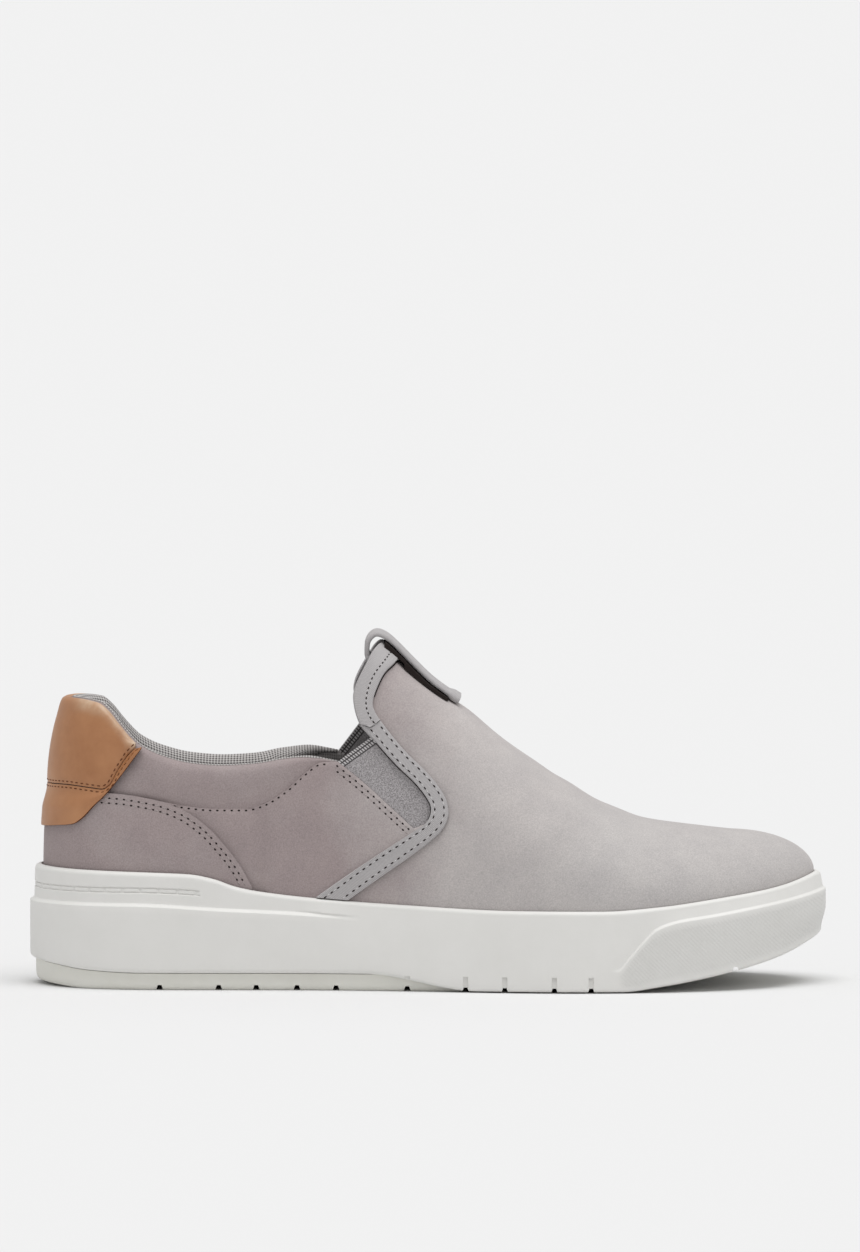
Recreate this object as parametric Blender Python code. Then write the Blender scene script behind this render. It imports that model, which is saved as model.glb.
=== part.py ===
"""Slip-on sneaker, right shoe: cup sole, hollow upper, elastic gores, heel leathers, pull loop.

Metres, +X to the toe, +Z up, -Y the outer (lateral) side. The origin is under the middle of the
shoe, on the floor. Run it with blender --background --python part.py or from the Text Editor.
"""
import math

import bmesh
import bpy
import numpy as np
from mathutils import Vector

MM = 0.001

# Driving dimensions of the shoe
LENGTH = 300 * MM             # sole, heel to toe
BALL_WIDTH = 108 * MM         # sole, at the ball of the foot
WALL_HEIGHT = 45 * MM         # cup wall at the heel, from the floor to the feather line
UPPER_RISE = 84 * MM          # crest of the flap above that wall
GAP = 0.3 * MM                # clearance between pieces that touch
SEAT = 0.5 * MM               # the same under a piece that bends over the upper

# Cup sole and outsole
LIP = 4.5 * MM                # thickness of the cup wall at its top
WALL_LEAN = 1.9 * MM          # how far the wall leans in towards its top
HEEL_STEP = 1.6 * MM          # the lower heel wall stands this proud
TOE_STEP = 1.1 * MM           # the toe panel stands this proud
EDGE = 1.1 * MM               # rounding of the cup's lower edge
CHAMFER = 0.6 * MM            # its flat part
LIP_EDGE = 1.8 * MM           # rounding of the lip
RIDGE_ROUND = 0.75 * MM       # half height of the rounding over each ridge
TOE_UNDERCUT = 1.8 * MM       # the wall's lower edge draws in under the toe
POCKET_TAPER = 1.3 * MM       # the cup's inside is this much narrower at its floor
OUTSOLE_THICKNESS = 6.2 * MM
TREAD_BEVEL = 1.3 * MM        # its lower edge draws in
UNDER_INSET = 6.2 * MM        # inset of its flat faces' outer row
HEEL_BAND_RISE = 1.6 * MM     # the tread sheet is thicker under the back of the heel
HEEL_RECESS = 1.9 * MM        # the tread sheet's edge lies in from the cup at the heel
FORE_RECESS = 3.2 * MM        # and inside the cup's rim at the forefoot
RIM_CLEAR = 0.5 * MM          # height of the cup's rim over the ground line at the forefoot
CUP_FLOOR = 20 * MM           # height of the cup's floor under the heel
GROOVE_WIDTH = 3.0 * MM
GROOVE_DEPTH = 1.9 * MM
CUT_PAST = 4 * MM             # the groove cutters reach this far past the sole
FLUTE_WIDTH = 1.9 * MM
FLUTE_HEIGHT = 6.0 * MM
FLUTE_DEPTH = 0.8 * MM
FLUTE_INTO = 0.2 * MM         # a flute's cutter starts this far inside its groove
SLIVER = 0.1 * MM             # least step between two rings or cuts that nearly meet

# Upper and what is sewn to it
WALL = 2.2 * MM               # nubuck and lining together
PAD_OUT = 1.8 * MM            # the collar's padding swells the outside
PAD_IN = 4.5 * MM             # and the inside
PAD_TURN = 0.82               # share of a half wave that the padding runs through
PAD_LOW = 1.3                 # exponent: the padding is fullest above the middle
PAD_HEIGHT = 16 * MM          # a collar lower than this has less padding
PAD_LEAST = 1 * MM            # and lower than this none
SIDE_LEAN = 0.10              # share by which the sides close in towards the collar
LEAN_RISE = 60 * MM           # height over which they do
INSOLE_THICKNESS = 4.0 * MM
OVERLAY = 1.2 * MM            # leather and nubuck overlays
TUCK = 3 * MM                 # the heel panel runs this far down into the cup
TAPE = 1.3 * MM               # binding tape
TAB_PAD = 2.1 * MM            # padded heel tab
TAB_EDGE = 0.55               # share of that thickness at its edges
TAB_DROP = 0.8 * MM           # tab and patch end this far under the rim
PATCH_GAP = 0.8 * MM          # between the patch and the tab over it
GORE = 1.4 * MM
GORE_SINK = 0.5 * MM          # the gore lies this deep under the skin
GORE_CLEAR = 0.5 * MM
LOOP_WIDTH = 20 * MM
LOOP_THICKNESS = 1.8 * MM
LOOP_INNER_RUN = 12 * MM      # how far the loop runs down inside the flap
LOOP_INNER_ROWS = (0.45, 1.0)  # shares of that run where its path has a row
LOOP_SEWN_RUN = 4 * MM        # stretch of its outer end that lies on the vamp
CUT_OVER = 1.8                # the opening's cutter reaches this high, in UPPER_RISE
CUT_SLANT = 0.5 * MM          # lean of its front end at the flap's tip

# Poles where the sections fan out round the heel and the toe, from the upper's two ends
HEEL_RADIUS = 32 * MM
TOE_RADIUS = 32 * MM

# Plan outline of the sole: share of LENGTH from the heel, share of BALL_WIDTH from the middle
PLAN = [
    # along, across
    (0.000, 0.000), (0.030, -0.215), (0.100, -0.335), (0.200, -0.365), (0.330, -0.370),
    (0.450, -0.405), (0.560, -0.460), (0.670, -0.500), (0.780, -0.475), (0.880, -0.385),
    (0.955, -0.225), (1.000, 0.040), (0.965, 0.270), (0.890, 0.415), (0.800, 0.485),
    (0.710, 0.500), (0.600, 0.455), (0.480, 0.375), (0.360, 0.330), (0.220, 0.335),
    (0.110, 0.320), (0.030, 0.210),
]

# Lines of the sole, over its length: share of LENGTH, share of WALL_HEIGHT
FEATHER = [
    # along, height
    (0.015, 1.000), (0.140, 0.982), (0.200, 0.967), (0.230, 0.930), (0.260, 0.862),
    (0.290, 0.822), (0.363, 0.767), (0.467, 0.720), (0.607, 0.682), (0.720, 0.680),
    (0.790, 0.711), (0.867, 0.775), (0.943, 0.850), (0.987, 0.930),
]
RIDGE = [
    # along, height
    (0.000, 0.712), (0.130, 0.713), (0.240, 0.675), (0.345, 0.640), (0.420, 0.590),
    (0.600, 0.380), (0.700, 0.180), (0.737, 0.190), (0.753, 0.300), (0.770, 0.430),
    (0.787, 0.535), (0.815, 0.595), (0.855, 0.633), (0.905, 0.685), (0.965, 0.750),
    (1.000, 0.795),
]
RIDGE_STEP = [
    # along, share of the step that shows, at the heel (+) or the toe (-)
    (0.000, 1.00), (0.330, 1.00), (0.420, 0.00), (0.725, 0.00), (0.760, -1.00), (1.000, -1.00),
]
GROUND = [
    # along, height: heel bevel, flat run, toe spring
    (0.000, 0.045), (0.030, 0.022), (0.075, 0.000), (0.745, 0.000), (0.790, 0.038),
    (0.840, 0.094), (0.892, 0.168), (0.942, 0.258), (0.980, 0.360), (1.000, 0.425),
]
BAND = [
    # along, share of the recess at the heel (1) against the forefoot's rim (0)
    (0.000, 1.00), (0.420, 1.00), (0.560, 0.00), (1.000, 0.00),
]
CUP = [
    # along, height of the cup's floor as a share of CUP_FLOOR
    (0.000, 1.05), (0.300, 1.00), (0.500, 0.86), (0.700, 0.76), (0.800, 0.82), (0.900, 1.05),
    (1.000, 1.42),
]

# Lines of the upper, over its length: share of LENGTH, share of UPPER_RISE above WALL_HEIGHT
CREST = [
    # along, height; behind the flap it is the line that the sides aim at
    (0.122, 1.090), (0.200, 1.220), (0.290, 1.240), (0.390, 1.110), (0.445, 0.976),
    (0.485, 0.852), (0.513, 0.775), (0.547, 0.700), (0.584, 0.591), (0.622, 0.490),
    (0.660, 0.400), (0.697, 0.315), (0.735, 0.249), (0.773, 0.200), (0.829, 0.172),
    (0.880, 0.151),
]
FULLNESS = [
    # along, exponent of the cross-section: 2 is an ellipse
    (0.120, 2.00), (0.300, 2.35), (0.430, 2.80), (0.550, 2.55), (0.700, 2.20), (0.880, 2.00),
]
RIM = [
    # along, height
    (0.030, 0.730), (0.045, 0.755), (0.060, 0.758), (0.087, 0.745), (0.100, 0.710),
    (0.115, 0.645), (0.137, 0.562), (0.165, 0.512), (0.204, 0.477), (0.242, 0.467),
    (0.280, 0.474), (0.319, 0.498), (0.348, 0.507), (0.373, 0.494), (0.387, 0.484),
]
COLLAR_SEAM = [
    # along, height
    (0.030, 0.345), (0.123, 0.331), (0.153, 0.313), (0.203, 0.281), (0.233, 0.273),
    (0.273, 0.273), (0.291, 0.290), (0.315, 0.339), (0.328, 0.375), (0.344, 0.429),
    (0.366, 0.480), (0.387, 0.483),
]
PANEL_TOP = [
    # along, height
    (0.015, 0.343), (0.103, 0.336), (0.153, 0.313), (0.192, 0.268), (0.222, 0.196),
    (0.247, 0.102), (0.267, 0.006), (0.279, -0.075),
]
PATCH_FOOT = [
    # along, height
    (0.015, 0.166), (0.040, 0.183), (0.060, 0.195), (0.072, 0.226), (0.083, 0.272),
    (0.098, 0.327), (0.1205, 0.429), (0.145, 0.543),
]
TAB_FOOT = [
    # along, height
    (0.015, 0.362), (0.050, 0.369), (0.077, 0.361), (0.094, 0.355), (0.1025, 0.373),
    (0.1125, 0.437), (0.1245, 0.502), (0.1375, 0.551),
]
TAB_END = 0.1345              # along: where the tab runs out against the rim
PATCH_END = 0.1425            # and the patch in front of it
PANEL_END = 0.2795
PANEL_FADE = 0.030            # along: stretch over which the upper draws in behind the panel
PAD_START = (0.105, 0.170)    # along: where the collar's outside begins to swell
LEAN_END = 0.62               # along: ahead of this the sides don't lean
LEAN_FADE = 0.20
HEEL_BAND_END = 0.14          # along: the tread sheet is thicker behind this
HEEL_BAND_FADE = 0.14
UNDERCUT_START = 0.90         # along: the wall's lower edge draws in ahead of this
UNDERCUT_FADE = 0.09
CUT_START = -0.10             # along: where the opening's cutter starts, behind the heel

# Rear and front edge of the binding tape in side view, from the flap down to the feather line
TAPE_REAR = [
    # along, height
    (0.430, 0.952), (0.411, 0.827), (0.408, 0.746), (0.416, 0.650), (0.436, 0.571),
    (0.460, 0.476), (0.485, 0.392), (0.501, 0.318), (0.505, 0.269), (0.499, 0.215),
    (0.480, 0.167), (0.436, 0.065), (0.401, -0.020), (0.367, -0.107),
]
TAPE_FRONT = [
    # along, height
    (0.456, 0.905), (0.443, 0.860), (0.432, 0.770), (0.432, 0.712), (0.446, 0.638),
    (0.472, 0.527), (0.499, 0.436), (0.518, 0.352), (0.525, 0.292), (0.525, 0.233),
    (0.514, 0.168), (0.485, 0.082), (0.448, -0.011), (0.408, -0.113),
]
FLAP_TIP_REAR = 0.4435        # along: where the tape's two edges cross the crest
FLAP_TIP_FRONT = 0.4660
NOTCH_REAR = [
    # along, height: the quarter's front edge, from the rim down to the tape
    (0.387, 0.484), (0.420, 0.390), (0.455, 0.278), (0.482, 0.190),
]
NOTCH_TURN = 9                # the tape's row at the foot of the notch
GORE_TOPS = [
    # along, height: front end of the top edge, outer and inner gore
    (0.428, 0.592), (0.420, 0.640),
]
GORE_TOP_ROW = 4              # the tape's first row below both

# Pull loop in side view, from its sewn end on the vamp over the top and down inside the flap
LOOP_TOP = [
    # along, height
    (0.506, 0.852), (0.485, 0.927), (0.460, 1.005), (0.4465, 1.036), (0.4350, 1.043),
    (0.4265, 1.020), (0.4235, 0.980), (0.4270, 0.936),
]
LOOP_SEWN = 0.541             # along: outer end

# Tread: share of LENGTH of each cross groove
HEEL_GROOVES = [0.164, 0.238, 0.285, 0.336, 0.385]
FORE_GROOVES = [0.474, 0.547, 0.596, 0.658, 0.704]
TOE_GROOVE = 0.885

# Fineness of the meshes
STATIONS = 25
TOE_FAN = 13
HEEL_FAN = 11
SKIN_ROWS = 13
TIP_ROWS = 4
TAPE_PARTS = 2
NOTCH_PARTS = 3
TAPE_COLUMNS = 2
GORE_ROWS = 9
GORE_COLUMNS = 4
LOOP_PARTS = 3
LOOP_COLUMNS = 4
RIM_POINTS = 29
PANEL_COLUMNS = 35
PATCH_COLUMNS = 21
TAB_COLUMNS = 21
BAND_ROWS = 5
TAB_ROWS = 7
PLAN_SAMPLES = 720
HALVINGS = 30                 # steps of the search for a line on the skin
SPAN = 0.01                   # of u and t, over which the skin's slopes are taken
POLE = 0.005                  # of u and t, round the pole of a fan
MERGE = 2e-6                  # points closer than this are one


def hermite(table):
    """A smooth curve through a table of two columns that never overshoots its rows."""
    keys = np.array([row[0] for row in table])
    values = np.array([row[1] for row in table])
    spans = np.diff(keys)
    slopes = np.diff(values) / spans
    tangents = np.zeros(len(keys))
    tangents[0], tangents[-1] = slopes[0], slopes[-1]
    for i in range(1, len(keys) - 1):
        if slopes[i - 1] * slopes[i] > 0:
            tangents[i] = 2 * slopes[i - 1] * slopes[i] / (slopes[i - 1] + slopes[i])

    def curve(x):
        x = min(max(x, keys[0]), keys[-1])
        i = min(max(int(np.searchsorted(keys, x)) - 1, 0), len(spans) - 1)
        s = (x - keys[i]) / spans[i]
        h = spans[i]
        return float(
            values[i] * (1 + 2 * s) * (1 - s) ** 2 + tangents[i] * h * s * (1 - s) ** 2
            + values[i + 1] * s * s * (3 - 2 * s) + tangents[i + 1] * h * s * s * (s - 1))

    return curve


def sole_line(table):
    """Height in metres over x in metres, for a line whose table is in shares of the sole."""
    curve = hermite(table)
    return lambda x: curve(x / LENGTH + 0.5) * WALL_HEIGHT


def upper_line(table):
    """Height in metres over x in metres, for a line whose table is in shares of the upper."""
    curve = hermite(table)
    return lambda x: WALL_HEIGHT + curve(x / LENGTH + 0.5) * UPPER_RISE


def x_at(along):
    """x of a share of LENGTH from the heel."""
    return (along - 0.5) * LENGTH


def side_point(along, height):
    """A row of a side-view table in metres: x and z."""
    return x_at(along), WALL_HEIGHT + height * UPPER_RISE


def share_line(table):
    """A bare share over x in metres."""
    curve = hermite(table)
    return lambda x: curve(x / LENGTH + 0.5)


feather = sole_line(FEATHER)
ridge = sole_line(RIDGE)
ground = sole_line(GROUND)
ridge_share = share_line(RIDGE_STEP)
band_share = share_line(BAND)
cup_share = share_line(CUP)
crest = upper_line(CREST)
fullness = share_line(FULLNESS)
rim = upper_line(RIM)
collar_seam = upper_line(COLLAR_SEAM)
panel_top = upper_line(PANEL_TOP)
patch_foot = upper_line(PATCH_FOOT)
tab_foot = upper_line(TAB_FOOT)


def smooth(value):
    """Smooth step from 0 to 1."""
    value = min(max(value, 0.0), 1.0)
    return value * value * (3 - 2 * value)


def closed_spline(rows, samples):
    """Periodic cubic spline through the rows, as an array of samples."""
    points = np.array(rows)
    count = len(points)
    matrix = np.zeros((count, count))
    for i in range(count):
        matrix[i, i] = 4
        matrix[i, (i - 1) % count] = matrix[i, (i + 1) % count] = 1
    right = 3 * (np.roll(points, -1, axis=0) - np.roll(points, 1, axis=0))
    tangents = np.linalg.solve(matrix, right)
    out = []
    per_span = samples // count + 1
    for i in range(count):
        a, b = points[i], points[(i + 1) % count]
        ta, tb = tangents[i], tangents[(i + 1) % count]
        for k in range(per_span):
            s = k / per_span
            out.append(a * (1 + 2 * s) * (1 - s) ** 2 + ta * s * (1 - s) ** 2
                       + b * s * s * (3 - 2 * s) + tb * s * s * (s - 1))
    return np.array(out)


class Plan:
    """The sole's plan outline, moved in by any amount and read at a place round the shoe.

    A place u runs from 0 to 4: 0 to 1 is the outer side from the heel pole to the toe pole,
    1 to 2 the fan round the toe, 2 to 3 the inner side back to the heel pole and 3 to 4 the fan
    round the heel.
    """

    def __init__(self):
        rows = [(x_at(along), across * BALL_WIDTH) for along, across in PLAN]
        base = closed_spline(rows, PLAN_SAMPLES)
        self.base = base
        ahead = np.roll(base, -1, axis=0) - np.roll(base, 1, axis=0)
        ahead /= np.linalg.norm(ahead, axis=1)[:, None]
        self.inward = np.stack([-ahead[:, 1], ahead[:, 0]], axis=1)
        self.cache = {}
        self.heel_x = -LENGTH / 2 + LIP + HEEL_RADIUS
        self.toe_x = LENGTH / 2 - LIP + GAP - TOE_RADIUS
        self.heel = np.array([self.heel_x, self.middle(self.heel_x)])
        self.toe = np.array([self.toe_x, self.middle(self.toe_x)])

    def outline(self, inset):
        """The outline moved in, split into its outer and inner side, heel to toe."""
        key = round(inset * 1e6)
        if key not in self.cache:
            moved = self.base + self.inward * inset
            back, front = int(np.argmin(moved[:, 0])), int(np.argmax(moved[:, 0]))
            turned = np.roll(moved, -back, axis=0)
            cut = (front - back) % len(moved)
            outer = turned[:cut + 1]
            inner = np.vstack([turned[cut:], turned[:1]])[::-1]
            self.cache[key] = (moved, outer, inner)
        return self.cache[key]

    def across(self, x, inset, side):
        """y of the outline at x; side 0 is the outer one, 1 the inner one."""
        half = self.outline(inset)[1 + side]
        return float(np.interp(x, half[:, 0], half[:, 1]))

    def middle(self, x):
        """y half way between the two sides."""
        return 0.5 * (self.across(x, LIP, 0) + self.across(x, LIP, 1))

    def ray(self, pole, angle, inset):
        """Where the ray from a pole meets the outline."""
        moved = self.outline(inset)[0] - pole
        turn = (np.arctan2(moved[:, 1], moved[:, 0]) - angle + math.pi) % (2 * math.pi) - math.pi
        order = np.argsort(turn)
        reach = float(np.interp(0.0, turn[order], np.hypot(moved[order, 0], moved[order, 1])))
        return pole + reach * np.array([math.cos(angle), math.sin(angle)])

    def station(self, u):
        """x of a place on one of the two sides, or of the pole in a fan."""
        u %= 4
        if u <= 1:
            return self.heel_x + u * (self.toe_x - self.heel_x)
        if u < 2:
            return self.toe_x
        if u <= 3:
            return self.toe_x - (u - 2) * (self.toe_x - self.heel_x)
        return self.heel_x

    def axis(self, u):
        """Point of the shoe's axis that the section at u closes on."""
        x = self.station(u)
        return np.array([x, self.middle(x)])

    def edge(self, u, inset):
        """Point of the outline at the place u."""
        u %= 4
        if u <= 1 or 2 <= u <= 3:
            x = self.station(u)
            return np.array([x, self.across(x, inset, 0 if u <= 1 else 1)])
        if u < 2:
            return self.ray(self.toe, (u - 1.5) * math.pi, inset)
        return self.ray(self.heel, (u - 2.5) * math.pi, inset)

    def place(self, x, side):
        """The place u of a station x on the outer (0) or inner (1) side."""
        share = (x - self.heel_x) / (self.toe_x - self.heel_x)
        return share if side == 0 else 3 - share


plan = Plan()
FULL_RING = (
    [i / (STATIONS - 1) for i in range(STATIONS)]
    + [1 + i / (TOE_FAN + 1) for i in range(1, TOE_FAN + 1)]
    + [2 + i / (STATIONS - 1) for i in range(STATIONS)]
    + [3 + i / (HEEL_FAN + 1) for i in range(1, HEEL_FAN + 1)]
)


def pad_swell(x, z):
    """Share of the collar's padding at a point of the side view."""
    low, high = collar_seam(x), rim(x)
    tall = high - low
    if z <= low or tall < PAD_LEAST or x > x_at(NOTCH_REAR[0][0]):
        return 0.0
    share = min((z - low) / tall, 1.0)
    return math.sin(math.pi * PAD_TURN * share ** PAD_LOW) * smooth(tall / PAD_HEIGHT)


def upper_inset(x):
    """How far the upper's foot lies in from the sole's outline."""
    behind = smooth((x_at(PANEL_END) - x) / (PANEL_FADE * LENGTH) + 1)
    return LIP + (OVERLAY + 2 * SEAT) * behind


def upper_foot(u, more=0.0):
    """Point of the upper's outline on the feather line, or moved in by more."""
    x = plan.edge(u, LIP)[0]
    return plan.edge(u, upper_inset(x) + more)


def skin_base(u, t):
    """The upper's bare outside at place u; t is 0 on the feather line and 1 on the crest."""
    foot, axis = upper_foot(u), plan.axis(u)
    power = 2 / fullness(axis[0])
    turn = 0.5 * math.pi * t
    across = math.copysign(abs(math.cos(turn)) ** power, math.cos(turn))
    low = feather(foot[0])
    z = low + (crest(axis[0]) - low) * math.sin(turn) ** power
    x = axis[0] + (foot[0] - axis[0]) * across
    back = smooth((x_at(LEAN_END) - x) / (LEAN_FADE * LENGTH))
    lean = SIDE_LEAN * smooth((z - low) / LEAN_RISE) * back
    y = axis[1] + (foot[1] - axis[1]) * across * (1 - lean)
    return np.array([x, y, z])


def skin_normal(u, t):
    """Outward unit normal of the bare skin; on a fan's pole it is that of the side next to it."""
    if t > 1 - POLE and (1 < u % 4 < 2 or u % 4 > 3):
        u = 1 - POLE if u % 4 < 2 else POLE
    du = skin_base(u + SPAN, t) - skin_base(u - SPAN, t)
    dt = skin_base(u, t + SPAN) - skin_base(u, max(t - SPAN, 0.0))
    normal = np.cross(du, dt)
    return normal / np.linalg.norm(normal)


def skin(u, t, lift=0.0):
    """Point of the upper's outside with the collar's padding, raised by lift."""
    point = skin_base(u, t)
    normal = skin_normal(u, t)
    begin, full = (x_at(along) for along in PAD_START)
    swell = pad_swell(point[0], point[2]) * smooth((point[0] - begin) / (full - begin))
    return point + normal * (lift + PAD_OUT * swell)


def lining(u, t):
    """Point of the upper's inside."""
    point = skin_base(u, t)
    return point - skin_normal(u, t) * (WALL + PAD_IN * pad_swell(point[0], point[2]))


def t_at(u, z):
    """The t of a height on the section at u."""
    foot, axis = upper_foot(u), plan.axis(u)
    low = feather(foot[0])
    share = min(max((z - low) / (crest(axis[0]) - low), 0.0), 1.0)
    return 2 / math.pi * math.asin(share ** (fullness(axis[0]) / 2))


def t_on(u, line):
    """The t where the section at u crosses a line of the side view."""
    low, high = 0.0, 1.0
    for _ in range(HALVINGS):
        mid = 0.5 * (low + high)
        point = skin_base(u, mid)
        if point[2] < line(point[0]):
            low = mid
        else:
            high = mid
    return 0.5 * (low + high)


def material(name, colour, roughness):
    """A plain Principled material from sRGB parts of 255."""
    linear = [((c / 255 + 0.055) / 1.055) ** 2.4 for c in colour]
    made = bpy.data.materials.new(name)
    made.use_nodes = True
    shader = made.node_tree.nodes["Principled BSDF"]
    shader.inputs["Base Color"].default_value = (*linear, 1)
    shader.inputs["Roughness"].default_value = roughness
    shader.inputs["Metallic"].default_value = 0.0
    made.diffuse_color = (*linear, 1)
    return made


def finish(name, bm, made=None, smooth_angle=35):
    """Make an object of a closed bmesh, its faces pointing out."""
    bmesh.ops.remove_doubles(bm, verts=bm.verts, dist=MERGE)
    bmesh.ops.recalc_face_normals(bm, faces=bm.faces)
    mesh = bpy.data.meshes.new(name)
    bm.to_mesh(mesh)
    bm.free()
    mesh.shade_smooth()
    mesh.set_sharp_from_angle(angle=math.radians(smooth_angle))
    obj = bpy.data.objects.new(name, mesh)
    bpy.context.collection.objects.link(obj)
    if made:
        mesh.materials.append(made)
    return obj


def loft(rows, closed_round=True, closed_along=False):
    """A bmesh of quads between rows of points."""
    bm = bmesh.new()
    grid = [[bm.verts.new(Vector(p)) for p in row] for row in rows]
    count = len(rows[0])
    spans = count if closed_round else count - 1
    pairs = list(zip(grid, grid[1:]))
    if closed_along:
        pairs.append((grid[-1], grid[0]))
    for low, high in pairs:
        for i in range(spans):
            j = (i + 1) % count
            bm.faces.new((low[i], low[j], high[j], high[i]))
    return bm


def plate(outer, inner):
    """A closed bmesh between two grids of the same size, such as an overlay's two faces."""
    bm = bmesh.new()
    top = [[bm.verts.new(Vector(p)) for p in row] for row in outer]
    low = [[bm.verts.new(Vector(p)) for p in row] for row in inner]
    rows, count = len(top), len(top[0])
    for grid in (top, low):
        for a, b in zip(grid, grid[1:]):
            for i in range(count - 1):
                bm.faces.new((a[i], a[i + 1], b[i + 1], b[i]))
    for i in range(count - 1):
        bm.faces.new((top[0][i], top[0][i + 1], low[0][i + 1], low[0][i]))
        bm.faces.new((top[-1][i], top[-1][i + 1], low[-1][i + 1], low[-1][i]))
    for j in range(rows - 1):
        bm.faces.new((top[j][0], top[j + 1][0], low[j + 1][0], low[j][0]))
        bm.faces.new((top[j][-1], top[j + 1][-1], low[j + 1][-1], low[j][-1]))
    return bm


def edge_in(u, inset):
    """Point of the outline moved in by a value or by a function of x."""
    return plan.edge(u, inset(plan.edge(u, LIP)[0]) if callable(inset) else inset)


def ring(inset, height):
    """A level ring round the whole shoe; inset is a value or a function, as height is, of x."""
    points = []
    for u in FULL_RING:
        edge = edge_in(u, inset)
        points.append((edge[0], edge[1], height(edge[0])))
    return points


def floor_rows(inset, height, shares=(0.66, 0.33, 0.0)):
    """Rows that close a ring towards the axis, over a height that changes along the shoe."""
    rows = []
    for share in shares:
        row = []
        for u in FULL_RING:
            edge, axis = edge_in(u, inset), plan.axis(u)
            point = axis + (edge - axis) * share
            row.append((point[0], point[1], height(point[0])))
        rows.append(row)
    return rows


def prism(name, outline, reach):
    """A cutter: a side-view outline drawn out across the shoe."""
    bm = bmesh.new()
    front = [bm.verts.new((x, -reach, z)) for x, z in outline]
    back = [bm.verts.new((x, reach, z)) for x, z in outline]
    bm.faces.new(front)
    bm.faces.new(back[::-1])
    for i in range(len(outline)):
        j = (i + 1) % len(outline)
        bm.faces.new((front[i], back[i], back[j], front[j]))
    return hide(finish(name, bm))


def hide(cutter):
    """Mark an object as a cutter."""
    cutter.hide_render = True
    cutter.display_type = "WIRE"
    return cutter


def cut(obj, cutter):
    """Subtract a cutter with a live Boolean."""
    modifier = obj.modifiers.new(cutter.name, "BOOLEAN")
    modifier.operation = "DIFFERENCE"
    modifier.solver = "EXACT"
    modifier.object = cutter


def cup_floor(x):
    """Height of the cup's floor."""
    return CUP_FLOOR * cup_share(x)


def tread_top(x):
    """Height of the tread sheet's upper face."""
    behind = smooth((x_at(HEEL_BAND_END) - x) / (HEEL_BAND_FADE * LENGTH))
    return ground(x) + OUTSOLE_THICKNESS + HEEL_BAND_RISE * behind


def recess(x):
    """How far the tread sheet's edge lies in from the sole's outline."""
    return FORE_RECESS + (HEEL_RECESS - FORE_RECESS) * band_share(x)


def rim_foot(x):
    """Height of the cup wall's lower edge."""
    low = ground(x) + RIM_CLEAR
    return low + (tread_top(x) + GAP - low) * band_share(x)


def step(x):
    """How far the wall above the ridge lies in from the wall below it."""
    share = ridge_share(x)
    return HEEL_STEP * share if share > 0 else -TOE_STEP * share


def undercut(x):
    """How far the wall's lower edge draws in under the toe."""
    return TOE_UNDERCUT * smooth((x - x_at(UNDERCUT_START)) / (UNDERCUT_FADE * LENGTH))


def build_outsole(made):
    """Tread sheet: closed loft of level rings, then its cross grooves."""
    edge = 0.5 * OUTSOLE_THICKNESS
    rows = floor_rows(UNDER_INSET, ground, (0.0, 0.5, 1.0))
    rows += [
        ring(lambda x: recess(x) + GAP + TREAD_BEVEL, ground),
        ring(lambda x: recess(x) + GAP, lambda x: ground(x) + edge),
        ring(lambda x: recess(x) + GAP, tread_top),
    ]
    rows += floor_rows(UNDER_INSET, tread_top, (1.0, 0.5, 0.0))
    return finish("outsole", loft(rows), made)


def build_midsole(made):
    """Cup: rim, side wall with its ridge, lip, pocket wall and floor in one loft."""
    ceiling = lambda x: tread_top(x) + GAP
    round_off = (1 - math.sqrt(0.5)) * LIP_EDGE
    rows = floor_rows(UNDER_INSET, ceiling, (0.0, 0.5, 1.0))
    rows += [
        ring(lambda x: recess(x) + SLIVER, ceiling),
        ring(lambda x: recess(x) - 2 * GAP, rim_foot),
        ring(lambda x: undercut(x) + CHAMFER, lambda x: rim_foot(x) + SLIVER),
        ring(undercut, lambda x: rim_foot(x) + EDGE),
        ring(0.0, lambda x: 0.5 * (rim_foot(x) + EDGE + ridge(x) - RIDGE_ROUND)),
        ring(0.0, lambda x: ridge(x) - RIDGE_ROUND),
        ring(step, lambda x: ridge(x) + RIDGE_ROUND),
        ring(WALL_LEAN, lambda x: feather(x) - LIP_EDGE),
        ring(WALL_LEAN + round_off, lambda x: feather(x) - round_off),
        ring(WALL_LEAN + LIP_EDGE, feather),
        ring(LIP - GAP, feather),
        ring(LIP - GAP + POCKET_TAPER, cup_floor),
    ]
    rows += floor_rows(LIP - GAP + POCKET_TAPER, cup_floor)
    return finish("midsole", loft(rows), made)


def boxes_cutter(name, boxes):
    """A cutter of separate boxes, each a row of centre x and y, sizes in x and y, low and high z."""
    bm = bmesh.new()
    for x, y, wide, deep, low, high in boxes:
        made = bmesh.ops.create_cube(bm, size=1)
        for v in made["verts"]:
            rise = low + (v.co.z + 0.5) * (high - low)
            v.co = Vector((x + v.co.x * wide, y + v.co.y * deep, rise))
    return hide(finish(name, bm))


def groove_boxes(shares):
    """Boxes of the tread's cross grooves."""
    boxes = []
    for share in shares:
        x = x_at(share)
        boxes.append((x, 0.0, GROOVE_WIDTH, BALL_WIDTH + 2 * CUT_PAST,
                      ground(x) - CUT_PAST, ground(x) + GROOVE_DEPTH))
    return boxes


def flute_boxes(shares):
    """Boxes of the upright flutes over the grooves, in the cup's rim on both sides."""
    boxes = []
    for share in shares:
        x = x_at(share)
        for side in (0, 1):
            boxes.append((x, plan.across(x, 0.0, side), FLUTE_WIDTH, 2 * FLUTE_DEPTH,
                          ground(x) + GROOVE_DEPTH - FLUTE_INTO, ground(x) + FLUTE_HEIGHT))
    return boxes


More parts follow.
